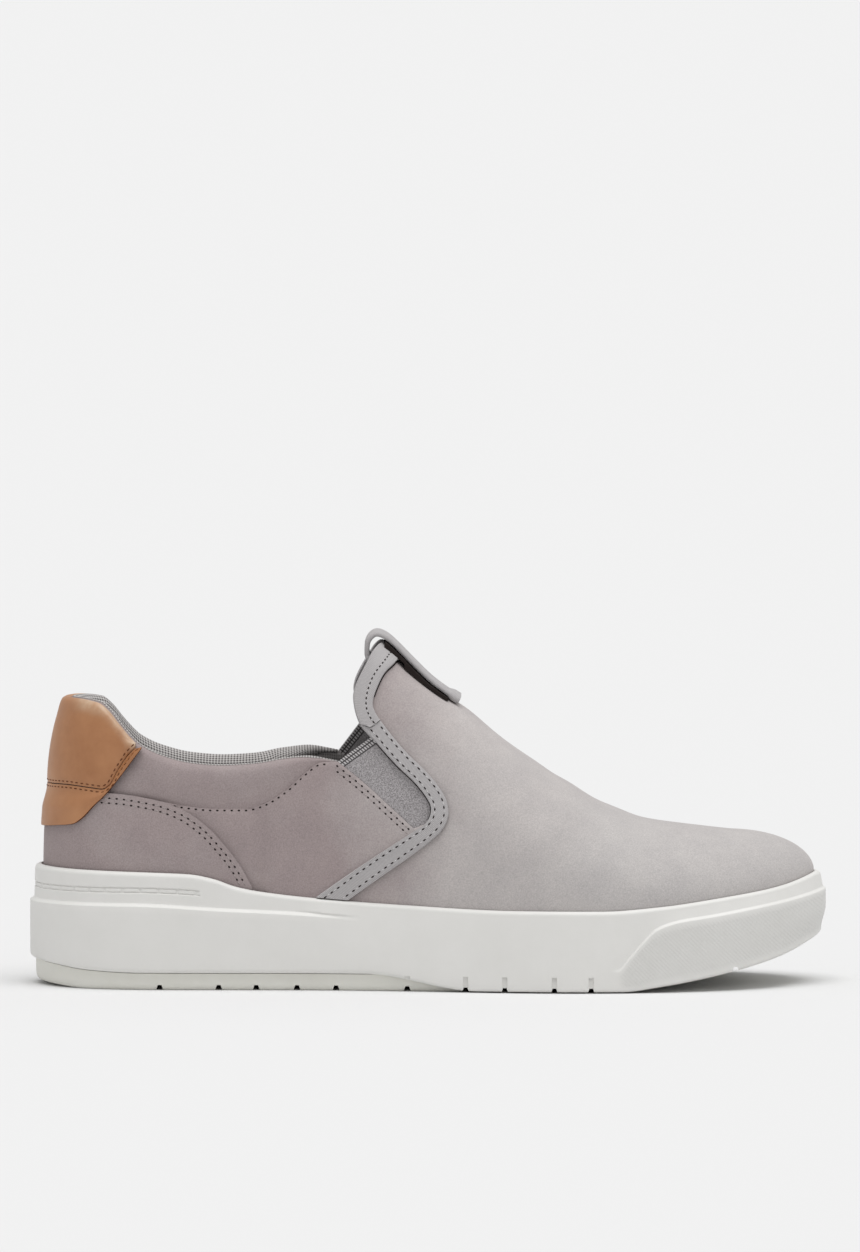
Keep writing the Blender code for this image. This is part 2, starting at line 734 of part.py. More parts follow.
def build_insole(made):
    """Footbed: a sheet over the cup's floor, inside the upper."""
    inset = lambda x: upper_inset(x) + POCKET_TAPER + WALL + 2 * GAP
    low = lambda x: cup_floor(x) + GAP
    high = lambda x: cup_floor(x) + GAP + INSOLE_THICKNESS
    rows = floor_rows(inset, low, (0.0, 0.5, 1.0)) + floor_rows(inset, high, (1.0, 0.5, 0.0))
    return finish("insole", loft(rows), made)


def last_rows(surface, foot_inset, foot_height):
    """Rows of the upper's outside or inside, from under the feather line to the crest."""
    rows = [ring(foot_inset, foot_height)]
    for k in range(SKIN_ROWS + 1):
        t = k / SKIN_ROWS
        rows.append([surface(u, t) for u in FULL_RING])
    return rows


def opening_outline():
    """Side view of what is cut away: above the rim, and the notch for the gore."""
    high = WALL_HEIGHT + CUT_OVER * UPPER_RISE
    start = x_at(CUT_START)
    outline = [(start, high), (start, rim(start))]
    first, last = x_at(RIM[0][0]), x_at(NOTCH_REAR[0][0])
    for i in range(RIM_POINTS):
        x = first + (last - first) * i / (RIM_POINTS - 1)
        outline.append((x, rim(x)))
    outline += [side_point(*row) for row in refine(NOTCH_REAR, NOTCH_PARTS)[1:]]
    outline += [side_point(*row) for row in refine(TAPE_REAR[:NOTCH_TURN + 1], TAPE_PARTS)[::-1]]
    tip = x_at(FLAP_TIP_REAR)
    outline += [(tip, crest(tip) - SLIVER), (tip + CUT_SLANT, high)]
    return outline


def refine(rows, parts):
    """Rows of a side-view table with smooth ones added between."""
    points = np.array(rows)
    out = []
    for i in range(len(points) - 1):
        before = points[max(i - 1, 0)]
        a, b = points[i], points[i + 1]
        after = points[min(i + 2, len(points) - 1)]
        for k in range(parts):
            s = k / parts
            ta, tb = (b - before) / 2, (after - a) / 2
            out.append(tuple(a * (1 + 2 * s) * (1 - s) ** 2 + ta * s * (1 - s) ** 2
                             + b * s * s * (3 - 2 * s) + tb * s * s * (s - 1)))
    out.append(tuple(points[-1]))
    return out


def build_upper(made):
    """Hollow shell in one loft, inside and outside, less the collar and gore openings."""
    foot = lambda x: cup_floor(x) + GAP
    inner = last_rows(lining, lambda x: upper_inset(x) + POCKET_TAPER + WALL, foot)
    outer = last_rows(skin, lambda x: upper_inset(x) + POCKET_TAPER, foot)
    upper = finish("upper", loft(inner[::-1] + outer), made)
    cut(upper, prism("opening_cutter", opening_outline(), BALL_WIDTH))
    return upper


def band_columns(end, count):
    """Places round the heel from the outer side at the share end to the inner side."""
    start, stop = plan.place(x_at(end), 1), 4 + plan.place(x_at(end), 0)
    return [start + (stop - start) * i / (count - 1) for i in range(count)]


def build_band(name, made, end, count, low, high, lift, thickness, rows=BAND_ROWS, tuck=0.0):
    """An overlay round the heel between two lines of the side view, or from a tuck in the cup."""
    outer, inner = [], []
    for u in band_columns(end, count):
        t_low, t_high = t_on(u, low), t_on(u, high)
        ts = [t_low + (t_high - t_low) * k / (rows - 1) for k in range(rows)]
        column_in = [skin(u, t, lift) for t in ts]
        column_out = [skin(u, t, lift + thickness(k / (rows - 1))) for k, t in enumerate(ts)]
        if tuck:
            down = np.array([0, 0, tuck])
            column_in.insert(0, column_in[0] - down)
            column_out.insert(0, column_out[0] - down)
        inner.append(column_in)
        outer.append(column_out)
    return finish(name, plate(outer, inner), made)


def patch_top(x):
    """Height of the patch's top: under the tab, and under the rim in front of it."""
    return min(tab_foot(x) - PATCH_GAP, rim(x) - TAB_DROP)


def tab_thickness(share):
    """Thickness of the padded tab at a share of its height."""
    return TAB_PAD * (TAB_EDGE + (1 - TAB_EDGE) * math.sin(math.pi * share))


def place_of(point, side):
    """The skin's u and t at a point of the side view."""
    u = plan.place(point[0], side)
    return u, t_at(u, point[1])


def tape_path():
    """Rows of the tape from its outer foot over the flap to its inner foot: pairs of (u, t)."""
    rear, front = refine(TAPE_REAR, TAPE_PARTS), refine(TAPE_FRONT, TAPE_PARTS)
    tips = [x_at(along) for along in (FLAP_TIP_REAR, FLAP_TIP_FRONT)]
    sides = []
    for side in (0, 1):
        over = []
        for k in range(TIP_ROWS, 0, -1):
            row = []
            for tip, (along, height) in zip(tips, (rear[0], front[0])):
                u, t = place_of(side_point(along, height), side)
                share = k / (TIP_ROWS + 1)
                row.append((plan.place(tip, side) * share + u * (1 - share), share + t * (1 - share)))
            over.append(tuple(row))
        sides.append(over + [
            (place_of(side_point(*a), side), place_of(side_point(*b), side))
            for a, b in zip(rear, front)])
    middle = [tuple((plan.place(tip, 0), 1.0) for tip in tips)]
    return sides[0][::-1] + middle + sides[1]


def build_binding(made):
    """Tape over the vamp's rear edge."""
    inner, outer = [], []
    for (ur, tr), (uf, tf) in tape_path():
        shares = [k / TAPE_COLUMNS for k in range(TAPE_COLUMNS + 1)]
        across = [(ur + (uf - ur) * share, tr + (tf - tr) * share) for share in shares]
        inner.append([skin(u, t, SEAT) for u, t in across])
        outer.append([skin(u, t, SEAT + TAPE) for u, t in across])
    return finish("edge_binding", plate(outer, inner), made)


def build_gore(name, made, side):
    """Elastic wedge that fills the notch, clear of its edges."""
    rear = [side_point(*row) for row in refine(NOTCH_REAR, NOTCH_PARTS)]
    front_rows = [GORE_TOPS[side]] + TAPE_REAR[GORE_TOP_ROW:NOTCH_TURN + 1]
    front = [side_point(*row) for row in refine(front_rows, TAPE_PARTS)]
    inner, outer = [], []
    for i in range(GORE_ROWS + 1):
        a = Vector(rear[round(i * (len(rear) - 1) / GORE_ROWS)])
        b = Vector(front[round(i * (len(front) - 1) / GORE_ROWS)])
        inward = (b - a).normalized() * 2 * GORE_CLEAR
        rise = Vector((0, GORE_CLEAR if i == GORE_ROWS else 0))
        a, b = a + inward + rise, b - inward + rise
        places = [place_of(a + (b - a) * k / GORE_COLUMNS, side) for k in range(GORE_COLUMNS + 1)]
        outer.append([skin(u, t, -GORE_SINK) for u, t in places])
        inner.append([skin(u, t, -GORE_SINK - GORE) for u, t in places])
    return finish(name, plate(outer, inner), made)


def crest_offset(x, lift):
    """Point of the centre section at x, moved off the crest by lift: x and z."""
    slope = (crest(x + MM) - crest(x - MM)) / (2 * MM)
    size = math.hypot(slope, 1)
    return x - slope / size * lift, crest(x) + lift / size


def arch_drop(x, y):
    """How far the skin falls from the crest at y across."""
    u = plan.place(x, 0)
    foot, axis = upper_foot(u), plan.axis(u)
    reach = abs(foot[1] - axis[1]) * (1 - SIDE_LEAN)
    power = fullness(x)
    return (crest(x) - feather(x)) * (1 - (1 - (abs(y) / reach) ** power) ** (1 / power))


def build_loop(made):
    """Webbing loop over the flap's top."""
    half = 0.5 * LOOP_THICKNESS
    sewn, tip = x_at(LOOP_SEWN), x_at(FLAP_TIP_REAR)
    path = [crest_offset(sewn - run, half + SEAT) for run in (0, LOOP_SEWN_RUN)]
    path += [side_point(*row) for row in LOOP_TOP]
    for share in LOOP_INNER_ROWS:
        path.append(crest_offset(tip + LOOP_INNER_RUN * share, -WALL - 2 * SEAT - half))
    path = refine(path, LOOP_PARTS)
    inner, outer = [], []
    for i, (x, z) in enumerate(path):
        before, after = path[max(i - 1, 0)], path[min(i + 1, len(path) - 1)]
        ahead = Vector((after[0] - before[0], 0, after[1] - before[1])).normalized()
        out = Vector((0, 1, 0)).cross(ahead)
        axis_y = plan.middle(max(x, tip))
        row_in, row_out = [], []
        for k in range(LOOP_COLUMNS + 1):
            y = (k / LOOP_COLUMNS - 0.5) * LOOP_WIDTH
            point = Vector((x, axis_y + y, z - arch_drop(max(x, tip), y)))
            row_in.append(point - out * half)
            row_out.append(point + out * half)
        inner.append(row_in)
        outer.append(row_out)
    return finish("pull_loop", plate(outer, inner), made)


def main():
    """Clear the scene and build every piece."""
    for obj in list(bpy.data.objects):
        bpy.data.objects.remove(obj)
    rubber = material("rubber_tread", (196, 196, 191), 0.7)
    cup = material("cup_rubber", (209, 208, 204), 0.55)
    foam = material("footbed_cloth", (150, 146, 144), 0.9)
    nubuck = material("nubuck", (160, 148, 147), 0.95)
    overlay = material("nubuck_overlay", (166, 154, 152), 0.95)
    tan = material("tan_leather", (158, 112, 78), 0.5)
    elastic = material("gore_elastic", (141, 136, 137), 0.9)
    webbing = material("webbing", (162, 160, 161), 0.85)

    outsole = build_outsole(rubber)
    fore = FORE_GROOVES + [TOE_GROOVE]
    cut(outsole, boxes_cutter("groove_cutter", groove_boxes(HEEL_GROOVES + fore)))
    midsole = build_midsole(cup)
    cut(midsole, boxes_cutter("rim_cutter", groove_boxes(fore)))
    cut(midsole, boxes_cutter("flute_cutter", flute_boxes(FORE_GROOVES)))
    build_insole(foam)
    build_upper(nubuck)
    build_gore("gore_lateral", elastic, 0)
    build_gore("gore_medial", elastic, 1)
    build_binding(webbing)
    build_band("heel_panel", overlay, PANEL_END, PANEL_COLUMNS, feather, panel_top, SEAT,
               lambda share: OVERLAY, tuck=TUCK)
    build_band("heel_patch", tan, PATCH_END, PATCH_COLUMNS, patch_foot, patch_top,
               2 * SEAT + OVERLAY, lambda share: OVERLAY)
    build_band("heel_tab", tan, TAB_END, TAB_COLUMNS, tab_foot, lambda x: rim(x) - TAB_DROP,
               SEAT + GAP, tab_thickness, rows=TAB_ROWS)
    build_loop(webbing)


main()
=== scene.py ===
"""Looks of a slip-on sneaker, right shoe: cup sole, nubuck upper with a padded collar, elastic
gores, webbing binding and pull loop, and tan leathers at the heel.

Metres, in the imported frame: +X to the toe, +Z up, -Y the outer side. The upper's pieces are laid
onto one surface, the last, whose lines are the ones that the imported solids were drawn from.
"""
from __future__ import annotations

import logging
import math
from dataclasses import dataclass
from enum import Enum
from typing import Callable, Sequence

import bpy
import numpy as np
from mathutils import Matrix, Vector
from mathutils.bvhtree import BVHTree

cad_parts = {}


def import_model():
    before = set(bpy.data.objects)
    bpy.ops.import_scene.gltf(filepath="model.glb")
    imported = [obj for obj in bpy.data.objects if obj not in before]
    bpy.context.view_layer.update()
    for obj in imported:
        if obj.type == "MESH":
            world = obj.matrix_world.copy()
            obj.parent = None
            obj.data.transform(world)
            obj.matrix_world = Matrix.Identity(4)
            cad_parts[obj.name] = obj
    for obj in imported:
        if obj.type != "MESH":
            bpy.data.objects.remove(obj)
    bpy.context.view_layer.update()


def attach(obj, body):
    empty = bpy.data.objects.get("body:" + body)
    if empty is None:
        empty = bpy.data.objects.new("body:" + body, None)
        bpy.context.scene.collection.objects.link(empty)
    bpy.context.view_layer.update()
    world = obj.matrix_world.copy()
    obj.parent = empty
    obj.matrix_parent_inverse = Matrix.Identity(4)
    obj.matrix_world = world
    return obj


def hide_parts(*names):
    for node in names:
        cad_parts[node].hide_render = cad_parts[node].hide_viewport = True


log = logging.getLogger("sneaker")
Array = np.ndarray
Line = Callable[[Array], Array]
Ring = tuple[Line, Line]          # inset and height of a ring of the sole, over x
Rows = Sequence[tuple[float, float]]
Piece = bpy.types.Object
Material = bpy.types.Material
Socket = bpy.types.NodeSocket
Colour = tuple[int, int, int]     # sRGB, in parts of 255
Size = tuple[float, float, float]

MM = 0.001
LENGTH = 300 * MM
BALL_WIDTH = 108 * MM
WALL_HEIGHT = 45 * MM         # from the floor to the feather line at the heel
UPPER_RISE = 84 * MM          # crest of the flap above that
GAP = 0.3 * MM                # clearance between pieces that touch
SEAT = 0.5 * MM               # the same under a piece that bends over the upper
LIP = 4.5 * MM
POCKET_TAPER = 1.3 * MM
CUP_FLOOR = 20 * MM
WALL = 2.2 * MM               # nubuck and lining together
OVERLAY = 1.2 * MM
PAD_OUT = 1.8 * MM
PAD_IN = 4.5 * MM
SIDE_LEAN = 0.10
LEAN_RISE = 60 * MM
HEEL_RADIUS = 32 * MM
TOE_RADIUS = 32 * MM

# Plan outline of the sole: share of LENGTH from the heel, share of BALL_WIDTH from the middle
PLAN = [
    # along, across
    (0.0, 0.0), (0.03, -0.215), (0.1, -0.335), (0.2, -0.365), (0.33, -0.37),
    (0.45, -0.405), (0.56, -0.46), (0.67, -0.5), (0.78, -0.475), (0.88, -0.385),
    (0.955, -0.225), (1.0, 0.04), (0.965, 0.27), (0.89, 0.415), (0.8, 0.485),
    (0.71, 0.5), (0.6, 0.455), (0.48, 0.375), (0.36, 0.33), (0.22, 0.335),
    (0.11, 0.32), (0.03, 0.21),
]

# Lines of the sole: share of LENGTH, share of WALL_HEIGHT
FEATHER = [
    # along, height
    (0.015, 1.0), (0.14, 0.982), (0.2, 0.967), (0.23, 0.93), (0.26, 0.862),
    (0.29, 0.822), (0.363, 0.767), (0.467, 0.72), (0.607, 0.682), (0.72, 0.68),
    (0.79, 0.711), (0.867, 0.775), (0.943, 0.85), (0.987, 0.93),
]
RIDGE = [
    # along, height
    (0.0, 0.712), (0.13, 0.713), (0.24, 0.675), (0.345, 0.64), (0.42, 0.59),
    (0.6, 0.38), (0.7, 0.18), (0.737, 0.19), (0.753, 0.3), (0.77, 0.43),
    (0.787, 0.535), (0.815, 0.595), (0.855, 0.633), (0.905, 0.685), (0.965, 0.75),
    (1.0, 0.795),
]
RIDGE_STEP = [
    # along, share of the step that shows, at the heel (+) or the toe (-)
    (0.0, 1.0), (0.33, 1.0), (0.42, 0.0), (0.725, 0.0), (0.76, -1.0), (1.0, -1.0),
]
GROUND = [
    # along, height: heel bevel, flat run, toe spring
    (0.0, 0.045), (0.03, 0.022), (0.075, 0.0), (0.745, 0.0), (0.79, 0.038),
    (0.84, 0.094), (0.892, 0.168), (0.942, 0.258), (0.98, 0.36), (1.0, 0.425),
]
BAND = [
    # along, share of the recess at the heel (1) against the forefoot's rim (0)
    (0.0, 1.0), (0.42, 1.0), (0.56, 0.0), (1.0, 0.0),
]
CUP = [
    # along, height of the cup's floor as a share of CUP_FLOOR
    (0.0, 1.05), (0.3, 1.0), (0.5, 0.86), (0.7, 0.76), (0.8, 0.82), (0.9, 1.05),
    (1.0, 1.42),
]

# Lines of the upper: share of LENGTH, share of UPPER_RISE above WALL_HEIGHT
CREST = [
    # along, height
    (0.122, 1.09), (0.2, 1.22), (0.29, 1.24), (0.39, 1.11), (0.445, 0.976),
    (0.485, 0.852), (0.513, 0.775), (0.547, 0.7), (0.584, 0.591), (0.622, 0.49),
    (0.66, 0.4), (0.697, 0.315), (0.735, 0.249), (0.773, 0.2), (0.829, 0.172),
    (0.88, 0.151),
]
FULLNESS = [
    # along, exponent of the cross-section: 2 is an ellipse
    (0.12, 2.0), (0.3, 2.35), (0.43, 2.8), (0.55, 2.55), (0.7, 2.2), (0.88, 2.0),
]
RIM = [
    # along, height
    (0.03, 0.73), (0.045, 0.755), (0.06, 0.758), (0.087, 0.745), (0.1, 0.71),
    (0.115, 0.645), (0.137, 0.562), (0.165, 0.512), (0.204, 0.477), (0.242, 0.467),
    (0.28, 0.474), (0.319, 0.498), (0.348, 0.507), (0.373, 0.494), (0.387, 0.484),
]
COLLAR_SEAM = [
    # along, height
    (0.03, 0.345), (0.123, 0.331), (0.153, 0.313), (0.203, 0.281), (0.233, 0.273),
    (0.273, 0.273), (0.291, 0.29), (0.315, 0.339), (0.328, 0.375), (0.344, 0.429),
    (0.366, 0.48), (0.387, 0.483),
]
PANEL_TOP = [
    # along, height
    (0.015, 0.343), (0.103, 0.336), (0.153, 0.313), (0.192, 0.268), (0.222, 0.196),
    (0.247, 0.102), (0.267, 0.006), (0.279, -0.075),
]
PATCH_FOOT = [
    # along, height
    (0.015, 0.166), (0.04, 0.183), (0.06, 0.195), (0.072, 0.226), (0.083, 0.272),
    (0.098, 0.327), (0.1205, 0.429), (0.145, 0.543),
]
TAB_FOOT = [
    # along, height
    (0.015, 0.362), (0.05, 0.369), (0.077, 0.361), (0.094, 0.355), (0.1025, 0.373),
    (0.1125, 0.437), (0.1245, 0.502), (0.1375, 0.551),
]
TAPE_REAR = [
    # along, height
    (0.43, 0.952), (0.411, 0.827), (0.408, 0.746), (0.416, 0.65), (0.436, 0.571),
    (0.46, 0.476), (0.485, 0.392), (0.501, 0.318), (0.505, 0.269), (0.499, 0.215),
    (0.48, 0.167), (0.436, 0.065), (0.401, -0.02), (0.3617, -0.1205),
]
TAPE_FRONT = [
    # along, height
    (0.456, 0.905), (0.443, 0.86), (0.432, 0.77), (0.432, 0.712), (0.446, 0.638),
    (0.472, 0.527), (0.499, 0.436), (0.518, 0.352), (0.525, 0.292), (0.525, 0.233),
    (0.514, 0.168), (0.485, 0.082), (0.448, -0.011), (0.4007, -0.1315),
]
NOTCH_REAR = [
    # along, height: the quarter's front edge, from the rim down to the tape
    (0.387, 0.484), (0.42, 0.39), (0.455, 0.278), (0.482, 0.19),
]
NOTCH_X = (NOTCH_REAR[0][0] - 0.5) * LENGTH
NOTCH_TURN = 9                # the tape's row at the foot of the notch
GORE_TOP_ROW = 4              # the tape's first row below the gore's top
GORE_TOPS = [
    # along, height: front end of the top edge, outer and inner gore
    (0.428, 0.592), (0.42, 0.64),
]
FLAP_TIP_REAR = 0.4435
FLAP_TIP_FRONT = 0.4660
LOOP_TOP = [
    # along, height: the pull loop from the vamp over the top and down inside the flap
    (0.503, 0.836), (0.482, 0.909), (0.459, 0.993), (0.446, 1.031), (0.435, 1.043),
    (0.4265, 1.02), (0.4235, 0.98), (0.427, 0.936),
]
LOOP_SEWN = 0.5355

PANEL_END = 0.2795
PANEL_FADE = 0.030
PATCH_END = 0.1425
TAB_END = 0.1345
PAD_START = (0.105, 0.17)
PAD_TURN = 0.82               # share of a half wave that the padding runs through
PAD_LOW = 1.3                 # the padding is fullest above the middle
PAD_HEIGHT = 16 * MM          # a collar lower than this has less padding

HEEL_GROOVES = [0.164, 0.238, 0.285, 0.336, 0.385]
FORE_GROOVES = [0.474, 0.547, 0.596, 0.658, 0.704]
TOE_GROOVE = 0.885


class Side(Enum):
    """The shoe's two sides."""
    OUTER = 0
    INNER = 1


def smooth(value: Array | float) -> Array:
    """Smooth step from 0 to 1."""
    value = np.clip(value, 0.0, 1.0)
    return value * value * (3 - 2 * value)


def cubic(a: Array, b: Array, leave: Array, reach: Array, s: Array | float) -> Array:
    """Cubic between two values.

    Args:
        a, b: values at the start and the end.
        leave, reach: slopes there, for the whole span.
        s: share of the span.

    Returns:
        The value at s.
    """
    start = a * (1 + 2 * s) + leave * s
    end = b * (3 - 2 * s) + reach * (s - 1)
    return start * (1 - s) ** 2 + end * s * s


def table_line(table: Rows, scale: float = 1.0, base: float = 0.0) -> Line:
    """A smooth curve through a table, which never overshoots its rows.

    Args:
        table: rows of share of LENGTH and value.
        scale: what a value of 1 stands for.
        base: what is added to it.

    Returns:
        The curve, as a function of x in metres.
    """
    keys = np.array([row[0] for row in table])
    values = np.array([row[1] for row in table])
    spans = np.diff(keys)
    slopes = np.diff(values) / spans
    tangents = np.zeros(len(keys))
    tangents[0], tangents[-1] = slopes[0], slopes[-1]
    before, after = slopes[:-1], slopes[1:]
    rising = before * after > 0
    total = np.where(rising, before + after, 1.0)
    tangents[1:-1] = np.where(rising, 2 * before * after / total, 0.0)

    def curve(x: Array) -> Array:
        """Value at x."""
        share = np.clip(np.asarray(x) / LENGTH + 0.5, keys[0], keys[-1])
        i = np.clip(np.searchsorted(keys, share) - 1, 0, len(spans) - 1)
        h = spans[i]
        s = (share - keys[i]) / h
        return base + scale * cubic(values[i], values[i + 1], tangents[i] * h, tangents[i + 1] * h, s)

    return curve


def level(value: float) -> Line:
    """A line of one value all along."""
    return lambda x: value + 0 * x


def sole_line(table: Rows) -> Line:
    """Height of a line of the sole over x."""
    return table_line(table, WALL_HEIGHT)


def upper_line(table: Rows) -> Line:
    """Height of a line of the upper over x."""
    return table_line(table, UPPER_RISE, WALL_HEIGHT)


def side_view(rows: Rows) -> Array:
    """Rows of a side-view table as points of x and z."""
    table = np.array(rows)
    return np.stack([(table[:, 0] - 0.5) * LENGTH, WALL_HEIGHT + table[:, 1] * UPPER_RISE], axis=1)


def x_at(share: float) -> float:
    """x of a share of the sole's length."""
    return (share - 0.5) * LENGTH


def refine(points: Array, parts: int) -> Array:
    """Smooth points added between the rows of a path.

    Args:
        points: one point a row.
        parts: how many spans each span becomes.

    Returns:
        The finer path.
    """
    out = []
    last = len(points) - 1
    for i in range(last):
        before, after = points[max(i - 1, 0)], points[min(i + 2, last)]
        a, b = points[i], points[i + 1]
        out += [cubic(a, b, (b - before) / 2, (after - a) / 2, k / parts) for k in range(parts)]
    return np.array(out + [points[-1]])


def run_along(path: Array) -> Array:
    """Distance of each of a path's points from its start."""
    return np.concatenate([[0.0], np.cumsum(np.linalg.norm(np.diff(path, axis=0), axis=1))])


def from_top(points: Array) -> Array:
    """Distance from each point of a row of points to the row's last one."""
    run = np.linalg.norm(np.diff(points, axis=1), axis=-1)
    return np.concatenate([np.cumsum(run[:, ::-1], axis=1)[:, ::-1], np.zeros((len(points), 1))], axis=1)


def unit(vectors: Array) -> Array:
    """Vectors brought to length 1."""
    return vectors / np.linalg.norm(vectors, axis=-1, keepdims=True)


def read_path(path: Array, run: Array, places: Array) -> Array:
    """Points of a path at given distances along it, from its run."""
    return np.stack([np.interp(places, run, path[:, k]) for k in range(path.shape[1])], axis=1)


def even(path: Array, step: float) -> Array:
    """A path's points set an even distance apart.

    Args:
        path: points in two or three dimensions.
        step: distance wanted between them.

    Returns:
        The new points.
    """
    run = run_along(path)
    count = max(int(round(run[-1] / step)), 1) + 1
    return read_path(path, run, np.linspace(0.0, run[-1], count))


class Plan:
    """The sole's plan outline, moved in by any amount and read at a place round the shoe.

    A place u runs from 0 to 4: 0 to 1 is the outer side from the heel pole to the toe pole, 1 to
    2 the fan round the toe, 2 to 3 the inner side back and 3 to 4 the fan round the heel.
    """

    SAMPLES = 60                  # spline points in each span of the table
    LEVELS = np.arange(-2, 33) * 0.5 * MM
    XS = np.linspace(-LENGTH / 2, LENGTH / 2, 1501)
    TURNS = np.linspace(-math.pi, math.pi, 1441)

    def __init__(self) -> None:
        """Work out the outline at every level, over x and over the turn round each pole."""
        base = self.spline(np.array(PLAN) * (LENGTH, BALL_WIDTH) - (LENGTH / 2, 0.0))
        ahead = unit(np.roll(base, -1, axis=0) - np.roll(base, 1, axis=0))
        inward = np.stack([-ahead[:, 1], ahead[:, 0]], axis=1)
        moved = [base + inward * level for level in self.LEVELS]
        self.sides = np.array([self.halves(outline) for outline in moved])
        self.heel_x = -LENGTH / 2 + LIP + HEEL_RADIUS
        self.toe_x = LENGTH / 2 - LIP + GAP - TOE_RADIUS
        self.rays = {}
        for x in (self.heel_x, self.toe_x):
            pole = np.array([x, float(self.middle(x))])
            self.rays[x] = np.array([self.reaches(outline - pole) for outline in moved])

    def spline(self, points: Array) -> Array:
        """Periodic cubic spline.

        Args:
            points: the points that it runs through.

        Returns:
            SAMPLES points for each of them.
        """
        turned = np.eye(len(points))
        matrix = 4 * turned + np.roll(turned, 1, axis=0) + np.roll(turned, -1, axis=0)
        following = np.roll(points, -1, axis=0)
        tangents = np.linalg.solve(matrix, 3 * (following - np.roll(points, 1, axis=0)))
        s = (np.arange(self.SAMPLES) / self.SAMPLES)[None, :, None]
        return cubic(points[:, None], following[:, None], tangents[:, None],
                     np.roll(tangents, -1, axis=0)[:, None], s).reshape(-1, 2)

    def halves(self, outline: Array) -> Array:
        """y over XS of an outline's outer and inner half.

        Args:
            outline: points of the outline.

        Returns:
            The two halves.
        """
        back, front = int(np.argmin(outline[:, 0])), int(np.argmax(outline[:, 0]))
        turned = np.roll(outline, -back, axis=0)
        cut = (front - back) % len(outline)
        inner = np.vstack([turned[cut:], turned[:1]])[::-1]
        return np.array([np.interp(self.XS, half[:, 0], half[:, 1]) for half in (turned[:cut + 1], inner)])

    def reaches(self, outline: Array) -> Array:
        """Distance from the origin to an outline, over TURNS."""
        turn = np.arctan2(outline[:, 1], outline[:, 0])
        order = np.argsort(turn)
        reach = np.hypot(outline[order, 0], outline[order, 1])
        return np.interp(self.TURNS, turn[order], reach, period=2 * math.pi)

    def read(self, table: Array, inset: Array, place: Array, grid: Array) -> Array:
        """Value between the entries of a table.

        Args:
            table: rows for LEVELS, columns for the grid.
            inset: where between the levels.
            place: where between the grid's values.
            grid: evenly spaced values.

        Returns:
            The values.
        """
        spots = []
        for value, scale in ((inset, self.LEVELS), (place, grid)):
            spots.append(np.clip((value - scale[0]) / (scale[1] - scale[0]), 0, len(scale) - 1.001))
        i, j = (spot.astype(int) for spot in spots)
        f, g = spots[0] - i, spots[1] - j
        low = table[i, j] * (1 - g) + table[i, j + 1] * g
        high = table[i + 1, j] * (1 - g) + table[i + 1, j + 1] * g
        return low * (1 - f) + high * f

    def across(self, x: Array, inset: Array, side: Side) -> Array:
        """y of the outline, moved in by inset, at x."""
        x, inset = np.broadcast_arrays(np.asarray(x, float), np.asarray(inset, float))
        return self.read(self.sides[:, side.value], inset, x, self.XS)

    def middle(self, x: Array) -> Array:
        """y half way between the two sides."""
        return 0.5 * (self.across(x, LIP, Side.OUTER) + self.across(x, LIP, Side.INNER))

    def station(self, u: Array) -> Array:
        """x of a place on a side, or of the pole in a fan."""
        u = np.asarray(u, float) % 4
        share = np.where(u <= 1, u, np.where(u < 2, 1.0, np.where(u <= 3, 3 - u, 0.0)))
        return self.heel_x + share * (self.toe_x - self.heel_x)

    def edge(self, u: Array, inset: Array) -> tuple[Array, Array]:
        """The outline, moved in.

        Args:
            u: places round the shoe.
            inset: how far it is moved in.

        Returns:
            x and y.
        """
        u, inset = np.broadcast_arrays(np.asarray(u, float) % 4, np.asarray(inset, float))
        x = self.station(u)
        y = np.where(u <= 1, self.across(x, inset, Side.OUTER), self.across(x, inset, Side.INNER))
        for pole, low, ahead in ((self.toe_x, 1, 1.5), (self.heel_x, 3, 2.5)):
            fan = (u > low) & (u < low + 1)
            angle = ((u - ahead) * math.pi + math.pi) % (2 * math.pi) - math.pi
            reach = self.read(self.rays[pole], inset, angle, self.TURNS)
            x = np.where(fan, pole + reach * np.cos(angle), x)
            y = np.where(fan, self.middle(pole) + reach * np.sin(angle), y)
        return x, y

    def place(self, x: Array, side: Side) -> Array:
        """The place u of a station x on one side."""
        share = (np.asarray(x) - self.heel_x) / (self.toe_x - self.heel_x)
        return share if side is Side.OUTER else 3 - share

    def round_heel(self, end: float, count: int) -> Array:
        """Places from the inner side at the share end round the heel to the outer side."""
        x = x_at(end)
        return np.linspace(float(self.place(x, Side.INNER)), 4 + float(self.place(x, Side.OUTER)), count)

    def ring(self, side: int, toe: int, heel: int) -> Array:
        """Places all the way round, with so many spans on each side and in each fan."""
        parts = [np.linspace(i, i + 1, n, endpoint=False) for i, n in enumerate((side, toe, side, heel))]
        return np.concatenate(parts)


